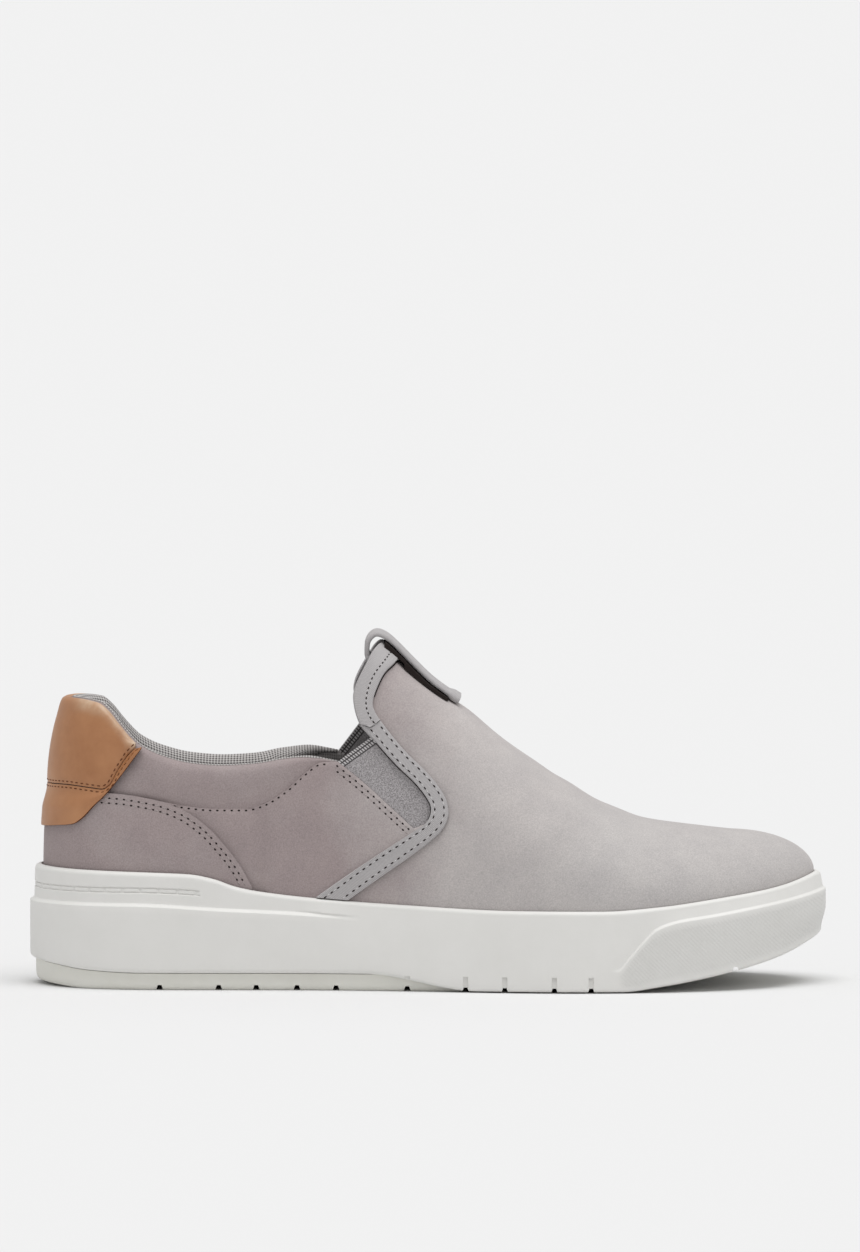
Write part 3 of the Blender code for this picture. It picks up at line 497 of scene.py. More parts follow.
class Last:
    """The surface that the upper's pieces are laid on.

    A point of it is a place u round the shoe and a t that is 0 on the feather line and 1 on the
    crest.
    """

    LEAN_FROM = 0.12              # share of LENGTH ahead of the middle where the sides stop leaning
    LEAN_FADE = 0.20
    SPAN = 0.01                   # spans in u and t over which slopes are taken
    POLE = 0.005                  # of u and t, round the pole of a fan
    HALVINGS = 26                 # steps of the search for a line on the skin
    ROUND = 240                   # points of a line round the heel

    def __init__(self) -> None:
        """Read the tables."""
        self.plan = Plan()
        self.feather = sole_line(FEATHER)
        self.ridge = sole_line(RIDGE)
        self.ground = sole_line(GROUND)
        self.ridge_share = table_line(RIDGE_STEP)
        self.band_share = table_line(BAND)
        self.cup_floor = table_line(CUP, CUP_FLOOR)
        self.crest = upper_line(CREST)
        self.fullness = table_line(FULLNESS)
        self.rim = upper_line(RIM)
        self.collar_seam = upper_line(COLLAR_SEAM)
        self.panel_top = upper_line(PANEL_TOP)
        self.patch_foot = upper_line(PATCH_FOOT)
        self.tab_foot = upper_line(TAB_FOOT)

    def inset(self, x: Array) -> Array:
        """How far the upper's foot lies in from the sole's outline."""
        return LIP + (OVERLAY + 2 * SEAT) * smooth((x_at(PANEL_END) - x) / (PANEL_FADE * LENGTH) + 1)

    def base(self, u: Array, t: Array) -> Array:
        """Points of the bare skin.

        Args:
            u: places round the shoe.
            t: heights, from 0 on the feather line to 1 on the crest.

        Returns:
            The points, with their coordinates last.
        """
        u, t = np.broadcast_arrays(np.asarray(u, float), np.asarray(t, float))
        near, _ = self.plan.edge(u, LIP)
        foot_x, foot_y = self.plan.edge(u, self.inset(near))
        station = self.plan.station(u)
        axis_y = self.plan.middle(station)
        power = 2 / self.fullness(station)
        turn = 0.5 * math.pi * t
        across = np.sign(np.cos(turn)) * np.abs(np.cos(turn)) ** power
        low = self.feather(foot_x)
        z = low + (self.crest(station) - low) * np.sin(np.maximum(turn, 0)) ** power
        x = station + (foot_x - station) * across
        back = smooth((self.LEAN_FROM * LENGTH - x) / (self.LEAN_FADE * LENGTH))
        lean = SIDE_LEAN * smooth((z - low) / LEAN_RISE) * back
        y = axis_y + (foot_y - axis_y) * across * (1 - lean)
        return np.stack([x, y, z], axis=-1)

    def slopes(self, u: Array, t: Array) -> tuple[Array, Array]:
        """How the bare skin's point changes.

        Args:
            u, t: where on the skin.

        Returns:
            Its change with u and with t.
        """
        span = self.SPAN
        low = np.maximum(t - span, 0.0)
        along = (self.base(u + span, t) - self.base(u - span, t)) / (2 * span)
        up = (self.base(u, t + span) - self.base(u, low)) / (t + span - low)[..., None]
        return along, up

    def normal(self, u: Array, t: Array) -> Array:
        """Outward normals.

        Args:
            u, t: where on the skin.

        Returns:
            Vectors of length 1.
        """
        u, t = np.broadcast_arrays(np.asarray(u, float), np.asarray(t, float))
        place = u % 4
        fan = (t > 1 - self.POLE) & (((place > 1) & (place < 2)) | (place > 3))
        u = np.where(fan, np.where(place < 2, 1 - self.POLE, self.POLE), u)
        return unit(np.cross(*self.slopes(u, t)))

    def swell(self, x: Array, z: Array) -> Array:
        """The collar's padding in side view.

        Args:
            x, z: points of the side view.

        Returns:
            Share of the full padding at each.
        """
        low, high = self.collar_seam(x), self.rim(x)
        tall = np.maximum(high - low, 1e-6)
        share = np.clip((z - low) / tall, 0, 1)
        here = (z > low) & (x < NOTCH_X)
        return np.where(here, np.sin(math.pi * PAD_TURN * share ** PAD_LOW) * smooth(tall / PAD_HEIGHT), 0.0)

    def outer_pad(self, point: Array) -> Array:
        """How far the collar's padding lifts the outside at points of the bare skin."""
        begin, full = (x_at(share) for share in PAD_START)
        x = point[..., 0]
        return PAD_OUT * self.swell(x, point[..., 2]) * smooth((x - begin) / (full - begin))

    def skin(self, u: Array, t: Array, lift: Array | float = 0.0) -> Array:
        """Points of the upper's outside with the collar's padding, raised by lift."""
        point = self.base(u, t)
        return point + self.normal(u, t) * (self.outer_pad(point) + lift)[..., None]

    def t_at(self, u: Array, z: Array) -> Array:
        """The t of a height on the sections at u, on the two sides."""
        station = self.plan.station(u)
        low = self.feather(station)
        share = np.clip((z - low) / (self.crest(station) - low), 0.0, 1.0)
        return 2 / math.pi * np.arcsin(share ** (self.fullness(station) / 2))

    def t_on(self, u: Array, line: Line) -> Array:
        """The t where sections cross a line of the side view.

        Args:
            u: places of the sections.
            line: height over x.

        Returns:
            The t of each.
        """
        low, high = np.zeros_like(u), np.ones_like(u)
        for _ in range(self.HALVINGS):
            mid = 0.5 * (low + high)
            point = self.base(u, mid)
            under = point[..., 2] < line(point[..., 0])
            low, high = np.where(under, mid, low), np.where(under, high, mid)
        return 0.5 * (low + high)

    def locate(self, path: Array, side: Side) -> tuple[Array, Array]:
        """u and t of points of the side view on one side."""
        u = self.plan.place(path[:, 0], side)
        return u, self.t_at(u, path[:, 1])

    def along_line(self, line: Line, end: float, away: float = 0.0) -> Array:
        """A line of the side view run round the heel, from the inner side to the outer.

        Args:
            line: height over x.
            end: share of LENGTH where it starts and stops.
            away: distance to move it up.

        Returns:
            Rows of u and t.
        """
        u = self.plan.round_heel(end, self.ROUND)
        return np.stack(self.shift(u, self.t_on(u, line), away), axis=1)

    def along_edge(self, rows: Rows, side: Side, away: float = 0.0) -> Array:
        """A table of the side view laid on one side, moved off to the rear.

        Args:
            rows: shares of LENGTH and of UPPER_RISE, from the top down.
            side: the side.
            away: distance to move it.

        Returns:
            Rows of u and t.
        """
        u, t = self.locate(refine(side_view(rows), 8), side)
        return np.stack(self.shift(u, t, -away if side is Side.OUTER else away), axis=1)

    def shift(self, u: Array, t: Array, away: float) -> tuple[Array, Array]:
        """A path on the skin moved sideways within it.

        Args:
            u: places of the path.
            t: heights of the path.
            away: distance to move, to the left as seen from outside.

        Returns:
            The moved u and t.
        """
        along, up = self.slopes(u, t)
        run = unit(np.gradient(self.base(u, t), axis=0))
        wanted = np.cross(unit(np.cross(along, up)), run) * away
        aa, ab, bb = (np.sum(p * q, axis=1) for p, q in ((along, along), (along, up), (up, up)))
        wa, wb = np.sum(wanted * along, axis=1), np.sum(wanted * up, axis=1)
        size = aa * bb - ab * ab
        return u + (wa * bb - wb * ab) / size, t + (wb * aa - wa * ab) / size


def deselect() -> None:
    """Leave nothing selected."""
    bpy.ops.object.select_all(action="DESELECT")


def activate(obj: Piece) -> Piece:
    """Select one object alone and make it active."""
    deselect()
    obj.select_set(True)
    bpy.context.view_layer.objects.active = obj
    return obj


def apply(obj: Piece, name: str) -> None:
    """Apply one of an object's modifiers."""
    activate(obj)
    bpy.ops.object.modifier_apply(modifier=name)


def mesh_object(name: str, points: Sequence, faces: Sequence) -> Piece:
    """A new object made from lists.

    Args:
        name: its name.
        points, faces: its mesh.

    Returns:
        The object.
    """
    mesh = bpy.data.meshes.new(name)
    mesh.from_pydata(points, [], faces)
    obj = bpy.data.objects.new(name, mesh)
    bpy.context.collection.objects.link(obj)
    return obj


def vertex_places(obj: Piece) -> Array:
    """Coordinates of an object's vertices."""
    place = np.zeros(len(obj.data.vertices) * 3, np.float32)
    obj.data.vertices.foreach_get("co", place)
    return place.reshape(-1, 3)


def mark(obj: Piece, name: str, values: Array) -> None:
    """Store a value for each vertex, which a finish reads by its name."""
    marks = obj.data.attributes.new(name, "FLOAT", "POINT")
    marks.data.foreach_set("value", values.astype(np.float32))


def grid_piece(name: str, points: Array) -> Piece:
    """A grid primitive whose points are moved to those given.

    Args:
        name: the piece's name.
        points: array of rows, columns and three coordinates.

    Returns:
        The object, with a UV map in metres along its columns (x) and its rows (y).
    """
    rows, columns = points.shape[:2]
    deselect()
    bpy.ops.mesh.primitive_grid_add(x_subdivisions=columns - 1, y_subdivisions=rows - 1, size=1)
    obj = bpy.context.active_object
    obj.name = obj.data.name = name
    obj.data.vertices.foreach_set("co", points.astype(np.float32).ravel())
    along = np.cumsum(np.linalg.norm(np.diff(points, axis=1, prepend=points[:, :1]), axis=2), axis=1)
    up = np.cumsum(np.linalg.norm(np.diff(points, axis=0, prepend=points[:1]), axis=2), axis=0)
    place = np.stack([np.broadcast_to(along.mean(axis=0), along.shape),
                      np.broadcast_to(up.mean(axis=1)[:, None], up.shape)], axis=-1).reshape(-1, 2)
    corners = np.zeros(len(obj.data.loops), np.int32)
    obj.data.loops.foreach_get("vertex_index", corners)
    obj.data.uv_layers[0].data.foreach_set("uv", place[corners].astype(np.float32).ravel())
    obj.data.update()
    return obj


def tidy_mesh(obj: Piece, angle: float = 40.0) -> Piece:
    """Merge doubles, turn the faces outwards and smooth the shading.

    Args:
        obj: the object.
        angle: edges sharper than this, in degrees, stay sharp.

    Returns:
        The same object.
    """
    activate(obj)
    bpy.ops.object.mode_set(mode="EDIT")
    bpy.ops.mesh.select_all(action="SELECT")
    bpy.ops.mesh.remove_doubles(threshold=2e-6)
    bpy.ops.mesh.dissolve_degenerate(threshold=1e-6)
    bpy.ops.mesh.normals_make_consistent(inside=False)
    bpy.ops.object.mode_set(mode="OBJECT")
    bpy.ops.object.shade_smooth_by_angle(angle=math.radians(angle))
    return obj


def closed_loft(name: str, points: Array, angle: float = 40.0) -> Piece:
    """A solid of rings: each row runs all the way round, and the first and last rows close it."""
    points = np.concatenate([points, points[:, :1]], axis=1)
    return tidy_mesh(grid_piece(name, points), angle)


def tube(name: str, points: Array, angle: float = 40.0) -> Piece:
    """A solid strip: each row is a closed section, and flat ends close the first and last one.

    Args:
        name: the piece's name.
        points: array of sections, points round each and three coordinates.
        angle: shading angle in degrees.

    Returns:
        The closed object.
    """
    points = np.concatenate([points, points[:, :1]], axis=1)
    obj = grid_piece(name, points)
    activate(obj)
    bpy.ops.object.mode_set(mode="EDIT")
    bpy.ops.mesh.select_all(action="SELECT")
    bpy.ops.mesh.remove_doubles(threshold=1e-6)
    bpy.ops.mesh.select_all(action="DESELECT")
    bpy.ops.mesh.select_non_manifold(extend=False, use_wire=False, use_multi_face=False,
                                     use_non_contiguous=False, use_verts=False)
    bpy.ops.mesh.edge_face_add()
    bpy.ops.object.mode_set(mode="OBJECT")
    return tidy_mesh(obj, angle)


def plate(name: str, low: Array, high: Array, angle: float = 40.0) -> Piece:
    """A solid sheet between two grids of points, one under the other."""
    return tube(name, np.concatenate([high, low[:, ::-1]], axis=1), angle)


def join(name: str, made: Sequence[Piece]) -> Piece:
    """Join objects into one.

    Args:
        name: name of the whole.
        made: the objects, which all become part of the first.

    Returns:
        The joined object.
    """
    activate(made[0])
    for obj in made:
        obj.select_set(True)
    bpy.ops.object.join()
    made[0].name = made[0].data.name = name
    return made[0]


def box_cutter(name: str, boxes: Sequence[Sequence[float]], taper: float = 1.0) -> Piece:
    """Boxes joined into one cutter.

    Args:
        name: the cutter's name.
        boxes: for each box its centre x, y, z and its sizes in x, y, z.
        taper: width of its top as a share of its width.

    Returns:
        The joined object.
    """
    made = []
    for x, y, z, wide, deep, tall in boxes:
        deselect()
        bpy.ops.mesh.primitive_cube_add(size=1, location=(x, y, z), scale=(wide, deep, tall))
        bpy.ops.object.transform_apply(location=True, rotation=True, scale=True)
        made.append(bpy.context.active_object)
        for vertex in made[-1].data.vertices:
            if vertex.co.z > z:
                vertex.co.x = x + (vertex.co.x - x) * taper
    return join(name, made)


def cut(obj: Piece, cutter: Piece) -> None:
    """Cut an object.

    Args:
        obj: what is cut.
        cutter: what is taken out of it, deleted afterwards.
    """
    modifier = obj.modifiers.new("cut", "BOOLEAN")
    modifier.operation = "DIFFERENCE"
    modifier.solver = "EXACT"
    modifier.object = cutter
    apply(obj, "cut")
    bpy.data.objects.remove(cutter)


def dress(obj: Piece, material: Material, slot: str, *replaced: str) -> Piece:
    """Give a piece its finish and let it ride on the shoe in place of solids.

    Args:
        obj: the piece.
        material: its finish.
        slot: not used.
        replaced: the nodes that it stands for.

    Returns:
        The piece.
    """
    obj.data.materials.clear()
    obj.data.materials.append(material)
    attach(obj, "root")
    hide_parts(*replaced)
    log.info("%s: %d faces", obj.name, len(obj.data.polygons))
    return obj


def rounding(inset: Line, height: Line, wide: float, tall: Line, count: int, top: bool) -> list[Ring]:
    """Rings round a quarter turn of a sole's edge.

    Args:
        inset: where the turn reaches furthest out.
        height: where it starts, at an edge's foot, or ends, at its top.
        wide, tall: its size inwards and upwards.
        count: how many rings.
        top: whether the edge is an upper one.

    Returns:
        The rings, from the lowest up.
    """
    sign = -1 if top else 1
    turns = np.radians(np.linspace(0, 90, count) if top else np.linspace(-90, 0, count))
    return [(lambda x, a=a: inset(x) + wide * (1 - math.cos(a)),
             lambda x, a=a: height(x) + sign * tall(x) * (1 + sign * math.sin(a))) for a in turns]


@dataclass
class CupSole:
    """Pale rubber cup: side wall with its heel ridge and toe panel, lip, and pocket for the upper."""
    last: Last
    wall_lean: float = 1.9 * MM
    heel_step: float = 1.6 * MM       # the lower heel wall stands this proud
    toe_step: float = 1.1 * MM        # and the toe panel this much
    shoulder: float = 0.75 * MM       # half height of the rounding over each ridge
    edge: float = 1.1 * MM
    lip_edge: float = 1.8 * MM        # rounding of the lip
    heel_edge: float = 1.9 * MM       # height of the lower edge's rounding at the heel
    toe_undercut: float = 1.8 * MM
    undercut_from: float = 0.40       # share of LENGTH ahead of the middle
    undercut_run: float = 0.09
    tread: float = 6.2 * MM           # thickness of the tread sheet
    band_rise: float = 1.6 * MM       # it is thicker under the back of the heel
    band_from: float = -0.36
    band_run: float = 0.14
    heel_recess: float = 1.9 * MM     # its edge lies in from the cup at the heel
    fore_recess: float = 3.2 * MM     # and inside the cup's rim at the forefoot
    rim_clear: float = 0.5 * MM
    under: float = 6.2 * MM           # inset of the flat underside
    groove_width: float = 5.4 * MM    # at the cutters' foot, well under the ground line
    groove_taper: float = 0.26
    groove_depth: float = 1.9 * MM
    groove_drop: float = 4.0 * MM     # the cutters reach this far under the ground line
    flute_width: float = 1.9 * MM
    flute_height: float = 6.0 * MM
    flute_depth: float = 0.8 * MM
    bead_pitch: float = 7.0 * MM      # moulded stitches round the heel
    bead_half: float = 0.62 * MM
    slot_half: float = 1.0 * MM
    slot_depth: float = 0.55 * MM
    slot_share: float = 0.42          # their height between ridge and lip at the back of the heel
    slot_climb: float = 0.04          # and how much of it they gain towards their end
    bead_end: float = 0.213           # share of LENGTH where the moulded stitches stop
    slot_zone: float = 1.5 * MM       # half height that has the closest rows
    flute_into: float = 0.2 * MM      # a flute's cutter starts this far inside its groove
    slot_fade: float = 0.6 * MM       # run over which the slot ends
    press: float = 0.3 * MM           # height over which slot and stitches round over
    bead_press: float = 0.5 * MM      # and the run over which a stitch does
    bead_gap: float = 0.55 * MM       # half the gap between two stitches
    bead_rise: float = 0.8            # height of a stitch as a share of the slot's depth
    side_turn: float = 0.15           # share of a side from the heel that has the closest places
    panel_from: float = 0.735         # share of LENGTH where the toe panel's dots begin
    seam: float = 0.1 * MM            # step between two rings that nearly meet

    def step(self, x: Array) -> Array:
        """How far the wall above the ridge lies in from the wall below it."""
        share = self.last.ridge_share(x)
        return np.where(share > 0, self.heel_step * share, -self.toe_step * share)

    def undercut(self, x: Array) -> Array:
        """How far the wall's lower edge draws in under the toe."""
        return self.toe_undercut * smooth((x / LENGTH - self.undercut_from) / self.undercut_run)

    def tread_top(self, x: Array) -> Array:
        """Height of the tread sheet's upper face."""
        rise = smooth((self.band_from * LENGTH - x) / (self.band_run * LENGTH))
        return self.last.ground(x) + self.tread + self.band_rise * rise

    def recess(self, x: Array) -> Array:
        """How far the tread sheet's edge lies in from the sole's outline."""
        return self.fore_recess + (self.heel_recess - self.fore_recess) * self.last.band_share(x)

    def rim_foot(self, x: Array) -> Array:
        """Height of the cup wall's lower edge."""
        low = self.last.ground(x) + self.rim_clear
        return low + (self.tread_top(x) + GAP - low) * self.last.band_share(x)

    def slot_line(self, x: Array) -> Array:
        """Height of the moulded stitches' centre line."""
        share = self.slot_share + self.slot_climb * smooth((x + LENGTH / 2) / (self.bead_end * LENGTH))
        return self.last.ridge(x) + share * (self.last.feather(x) - self.last.ridge(x))

    def places(self) -> Array:
        """Places round the sole, closest where the moulded stitches are."""
        turn = self.side_turn
        spans = [(0, turn, 66), (turn, 1, 200), (1, 2, 84), (2, 3 - turn, 200), (3 - turn, 3, 66)]
        spans.append((3, 4, 200))
        return np.concatenate([np.linspace(a, b, count, endpoint=False) for a, b, count in spans])

    def ring(self, u: Array, inset: Line, height: Line) -> Array:
        """One ring of points round the sole."""
        near, _ = self.last.plan.edge(u, LIP)
        x, y = self.last.plan.edge(u, inset(near))
        return np.stack([x, y, height(x)], axis=-1)

    def floor(self, u: Array, inset: Line, height: Line, shares: Sequence[float]) -> list[Array]:
        """Rings that close towards the sole's middle line.

        Args:
            u: places round the sole.
            inset: of the outermost ring.
            height: of them all.
            shares: size of each ring, where 1 is the outermost one.

        Returns:
            The rings.
        """
        outer = self.ring(u, inset, height)
        station = self.last.plan.station(u)
        axis = np.stack([station, self.last.plan.middle(station)], axis=-1)
        flats = [axis + (outer[:, :2] - axis) * share for share in shares]
        return [np.column_stack([flat, height(flat[:, 0])]) for flat in flats]

    def wall_sections(self) -> list[Ring]:
        """Rings of the wall from its lower edge over the lip.

        Returns:
            The rings.
        """
        last = self.last

        def tall_edge(x: Array) -> Array:
            """Height of the lower edge's rounding."""
            return self.edge + (self.heel_edge - self.edge) * last.band_share(x)

        def foot(x: Array) -> Array:
            """Height where that rounding ends."""
            return self.rim_foot(x) + tall_edge(x)

        rings = rounding(self.undercut, self.rim_foot, self.edge, tall_edge, 7, False)
        for f in np.linspace(0, 1, 9)[1:]:
            rings.append(self.wall_ring(
                lambda x, f=f: self.undercut(x) * (1 - smooth(1.8 * f)),
                lambda x, f=f: (1 - f) * foot(x) + f * (last.ridge(x) - self.shoulder)))
        for f in np.linspace(0, 1, 12)[1:]:
            rings.append(self.wall_ring(lambda x, f=f: self.step(x) * smooth(f),
                                        lambda x, f=f: last.ridge(x) + self.shoulder * (2 * f - 1)))
        rings += [self.upper_wall(f, -1) for f in (0.35, 0.7)]
        rings += [self.upper_wall(1.0, g) for g in np.linspace(-1, 1, 15)]
        rings += [self.upper_wall(1 - f, 1) for f in (0.35, 0.7)]
        lip = self.lip_edge
        return rings + rounding(level(self.wall_lean), last.feather, lip, level(lip), 9, True)

    def wall_ring(self, inset: Line, height: Line) -> Ring:
        """A ring whose inset has the free wall's lean added."""
        return lambda x: inset(x) + self.free_lean(x, height(x)), height

    def upper_wall(self, share: float, zone: float) -> Ring:
        """One ring between the ridge and the lip.

        Args:
            share: how far it lies from the ridge, or the lip, to the close rows.
            zone: its row among these, from -1 to 1; the sign also says from which end share counts.

        Returns:
            The ring.
        """
        last = self.last

        def ends(x: Array) -> tuple[Array, Array]:
            """Heights where the wall between ridge and lip starts and stops."""
            return last.ridge(x) + self.shoulder, last.feather(x) - self.lip_edge

        def height(x: Array) -> Array:
            """Height of the ring."""
            low, high = ends(x)
            near = self.slot_line(x) + np.minimum(self.slot_zone, 0.3 * (high - low)) * zone
            end = low if zone < 0 else high
            return end + (near - end) * share

        def inset(x: Array) -> Array:
            """Inset of the ring, on the straight line from the ridge to the lip."""
            low, high = ends(x)
            straight = self.step(x) + (self.wall_lean - self.step(x)) * (height(x) - low) / (high - low)
            return straight * np.abs(last.ridge_share(x))

        return self.wall_ring(inset, height)

    def free_lean(self, x: Array, z: Array) -> Array:
        """Inset of the wall where it has neither ridge nor step: one soft curve from foot to lip."""
        low, high = self.rim_foot(x), self.last.feather(x) - self.lip_edge
        share = np.clip((z - low) / (high - low), 0, 1)
        return self.wall_lean * share ** 1.8 * (1 - np.abs(self.last.ridge_share(x)))

    def mould_stitches(self, u: Array, points: Array) -> Array:
        """Press the slot with its row of moulded stitches into the heel's wall.

        Args:
            u: places round the sole.
            points: the cup's rings.

        Returns:
            The pressed rings.
        """
        edge_x, edge_y = self.last.plan.edge(u, 0.0)
        back = int(np.argmin(edge_x))
        steps = np.hypot(np.diff(edge_x, append=edge_x[:1]), np.diff(edge_y, append=edge_y[:1]))
        run = np.concatenate([[0], np.cumsum(steps)])[:-1]
        whole = float(steps.sum())
        away = np.abs((run - run[back] + whole / 2) % whole - whole / 2)
        end = away[int(np.argmin(np.abs(edge_x - x_at(self.bead_end)) + 10 * (u > 1)))]
        z = np.abs(points[..., 2] - self.slot_line(edge_x)[None, :])
        slot = smooth((self.slot_half - z) / self.press + 0.5) * smooth((end - away) / self.slot_fade + 1)
        place = np.abs((away % self.bead_pitch) - self.bead_pitch / 2)[None, :]
        bead = (smooth((self.bead_half - z) / self.press + 0.5)
                * smooth((self.bead_pitch / 2 - self.bead_gap - place) / self.bead_press + 0.5))
        depth = self.slot_depth * slot * (1 - self.bead_rise * bead)
        inner_x, inner_y = self.last.plan.edge(u, MM)
        inward = np.stack([inner_x - edge_x, inner_y - edge_y, np.zeros_like(u)], axis=-1) / MM
        return points + inward[None] * depth[..., None]

    def box(self, x: float, y: float, low: float, high: float, wide: float,
            deep: float) -> tuple[float, ...]:
        """A cutter's box.

        Args:
            x, y: its centre.
            low, high: where it starts and stops over the ground line.
            wide, deep: its size along and across the sole.

        Returns:
            Its centre and size.
        """
        return x, y, float(self.last.ground(x)) + (low + high) / 2, wide, deep, high - low

    def groove_boxes(self, shares: Sequence[float]) -> list[tuple[float, ...]]:
        """Boxes of the cross grooves at shares of LENGTH."""
        return [self.box(x_at(share), 0.0, -self.groove_drop, self.groove_depth, self.groove_width,
                         BALL_WIDTH * 1.2) for share in shares]

    def flute_boxes(self) -> list[tuple[float, ...]]:
        """Boxes of the flutes that stand over the forefoot's grooves."""
        low = self.groove_depth - self.flute_into
        return [self.box(x, float(self.last.plan.across(x, 0.0, side)), low, self.flute_height,
                         self.flute_width, 2 * self.flute_depth)
                for x in map(x_at, FORE_GROOVES) for side in Side]

    def build(self) -> Piece:
        """The cup, with its grooves and flutes cut.

        Returns:
            The piece.
        """
        u, last = self.places(), self.last
        pocket = LIP - GAP

        def ceiling(x: Array) -> Array:
            """Height of the cup's underside, just over the tread sheet."""
            return self.tread_top(x) + GAP

        rows = self.floor(u, level(self.under), ceiling, (0.0, 0.5, 1.0))
        rows.append(self.ring(u, lambda x: self.recess(x) + self.seam, ceiling))
        rows.append(self.ring(u, lambda x: self.recess(x) - 2 * GAP, self.rim_foot))
        rows += [self.ring(u, *ring) for ring in self.wall_sections()]
        for f in (0.0, 0.5, 1.0):
            rows.append(self.ring(u, level(pocket + POCKET_TAPER * f),
                                  lambda x: (1 - f) * last.feather(x) + f * last.cup_floor(x)))
        rows += self.floor(u, level(pocket + POCKET_TAPER), last.cup_floor, (0.66, 0.33, 0.0))
        cup = closed_loft("cup_sole", self.mould_stitches(u, np.array(rows)), 50)
        self.mark_panel(cup)
        grooves = self.groove_boxes(FORE_GROOVES + [TOE_GROOVE])
        cut(cup, box_cutter("rim_grooves", grooves, self.groove_taper))
        cut(cup, box_cutter("rim_flutes", self.flute_boxes()))
        return cup

    def mark_panel(self, cup: Piece) -> None:
        """Mark the toe panel, for its fine dots."""
        x, _, z = vertex_places(cup).T
        below = smooth((self.last.ridge(x) - 1.6 * MM - z) / MM)
        above = smooth((z - self.rim_foot(x) - 1.5 * MM) / MM)
        mark(cup, "toe_panel", below * above * smooth((x - x_at(self.panel_from)) / (4 * MM)))


@dataclass
class Tread:
    """Rubber tread sheet under the cup, with its cross grooves."""
    cup: CupSole
    bevel: float = 1.3 * MM
    bevel_height: float = 3.1 * MM

    def build(self) -> Piece:
        """The sheet, with its grooves cut.

        Returns:
            The piece.
        """
        cup, last = self.cup, self.cup.last
        u, under = last.plan.ring(240, 60, 60), level(self.cup.under)

        def side(x: Array) -> Array:
            """Inset of the sheet's edge."""
            return cup.recess(x) + GAP

        rows = cup.floor(u, under, last.ground, (0.0, 0.5, 1.0))
        edge = rounding(side, last.ground, self.bevel, level(self.bevel_height), 7, False)
        rows += [cup.ring(u, *ring) for ring in edge]
        rows.append(cup.ring(u, side, cup.tread_top))
        rows += cup.floor(u, under, cup.tread_top, (1.0, 0.5, 0.0))
        sheet = closed_loft("tread_sheet", np.array(rows), 35)
        grooves = cup.groove_boxes(HEEL_GROOVES + FORE_GROOVES + [TOE_GROOVE])
        cut(sheet, box_cutter("tread_grooves", grooves, cup.groove_taper))
        return sheet


@dataclass
class Footbed:
    """Cloth-covered foam footbed."""
    cup: CupSole
    thickness: float = 4.0 * MM
    rounding: float = 1.4 * MM

    def build(self) -> Piece:
        """The footbed, with a rounded upper edge.

        Returns:
            The piece.
        """
        cup, last = self.cup, self.cup.last
        u, soft = last.plan.ring(120, 36, 36), self.rounding

        def side(x: Array) -> Array:
            """Inset of the footbed's edge."""
            return last.inset(x) + POCKET_TAPER + WALL + 2 * GAP

        def low(x: Array) -> Array:
            """Height of its underside."""
            return last.cup_floor(x) + GAP

        def top(x: Array) -> Array:
            """Height of its upper face."""
            return low(x) + self.thickness

        rows = cup.floor(u, side, low, (0.0, 0.5, 1.0))
        rows += [cup.ring(u, *ring) for ring in rounding(side, top, soft, level(soft), 6, True)]
        rows += cup.floor(u, lambda x: side(x) + soft, top, (0.8, 0.4, 0.0))
        return closed_loft("footbed", np.array(rows), 40)


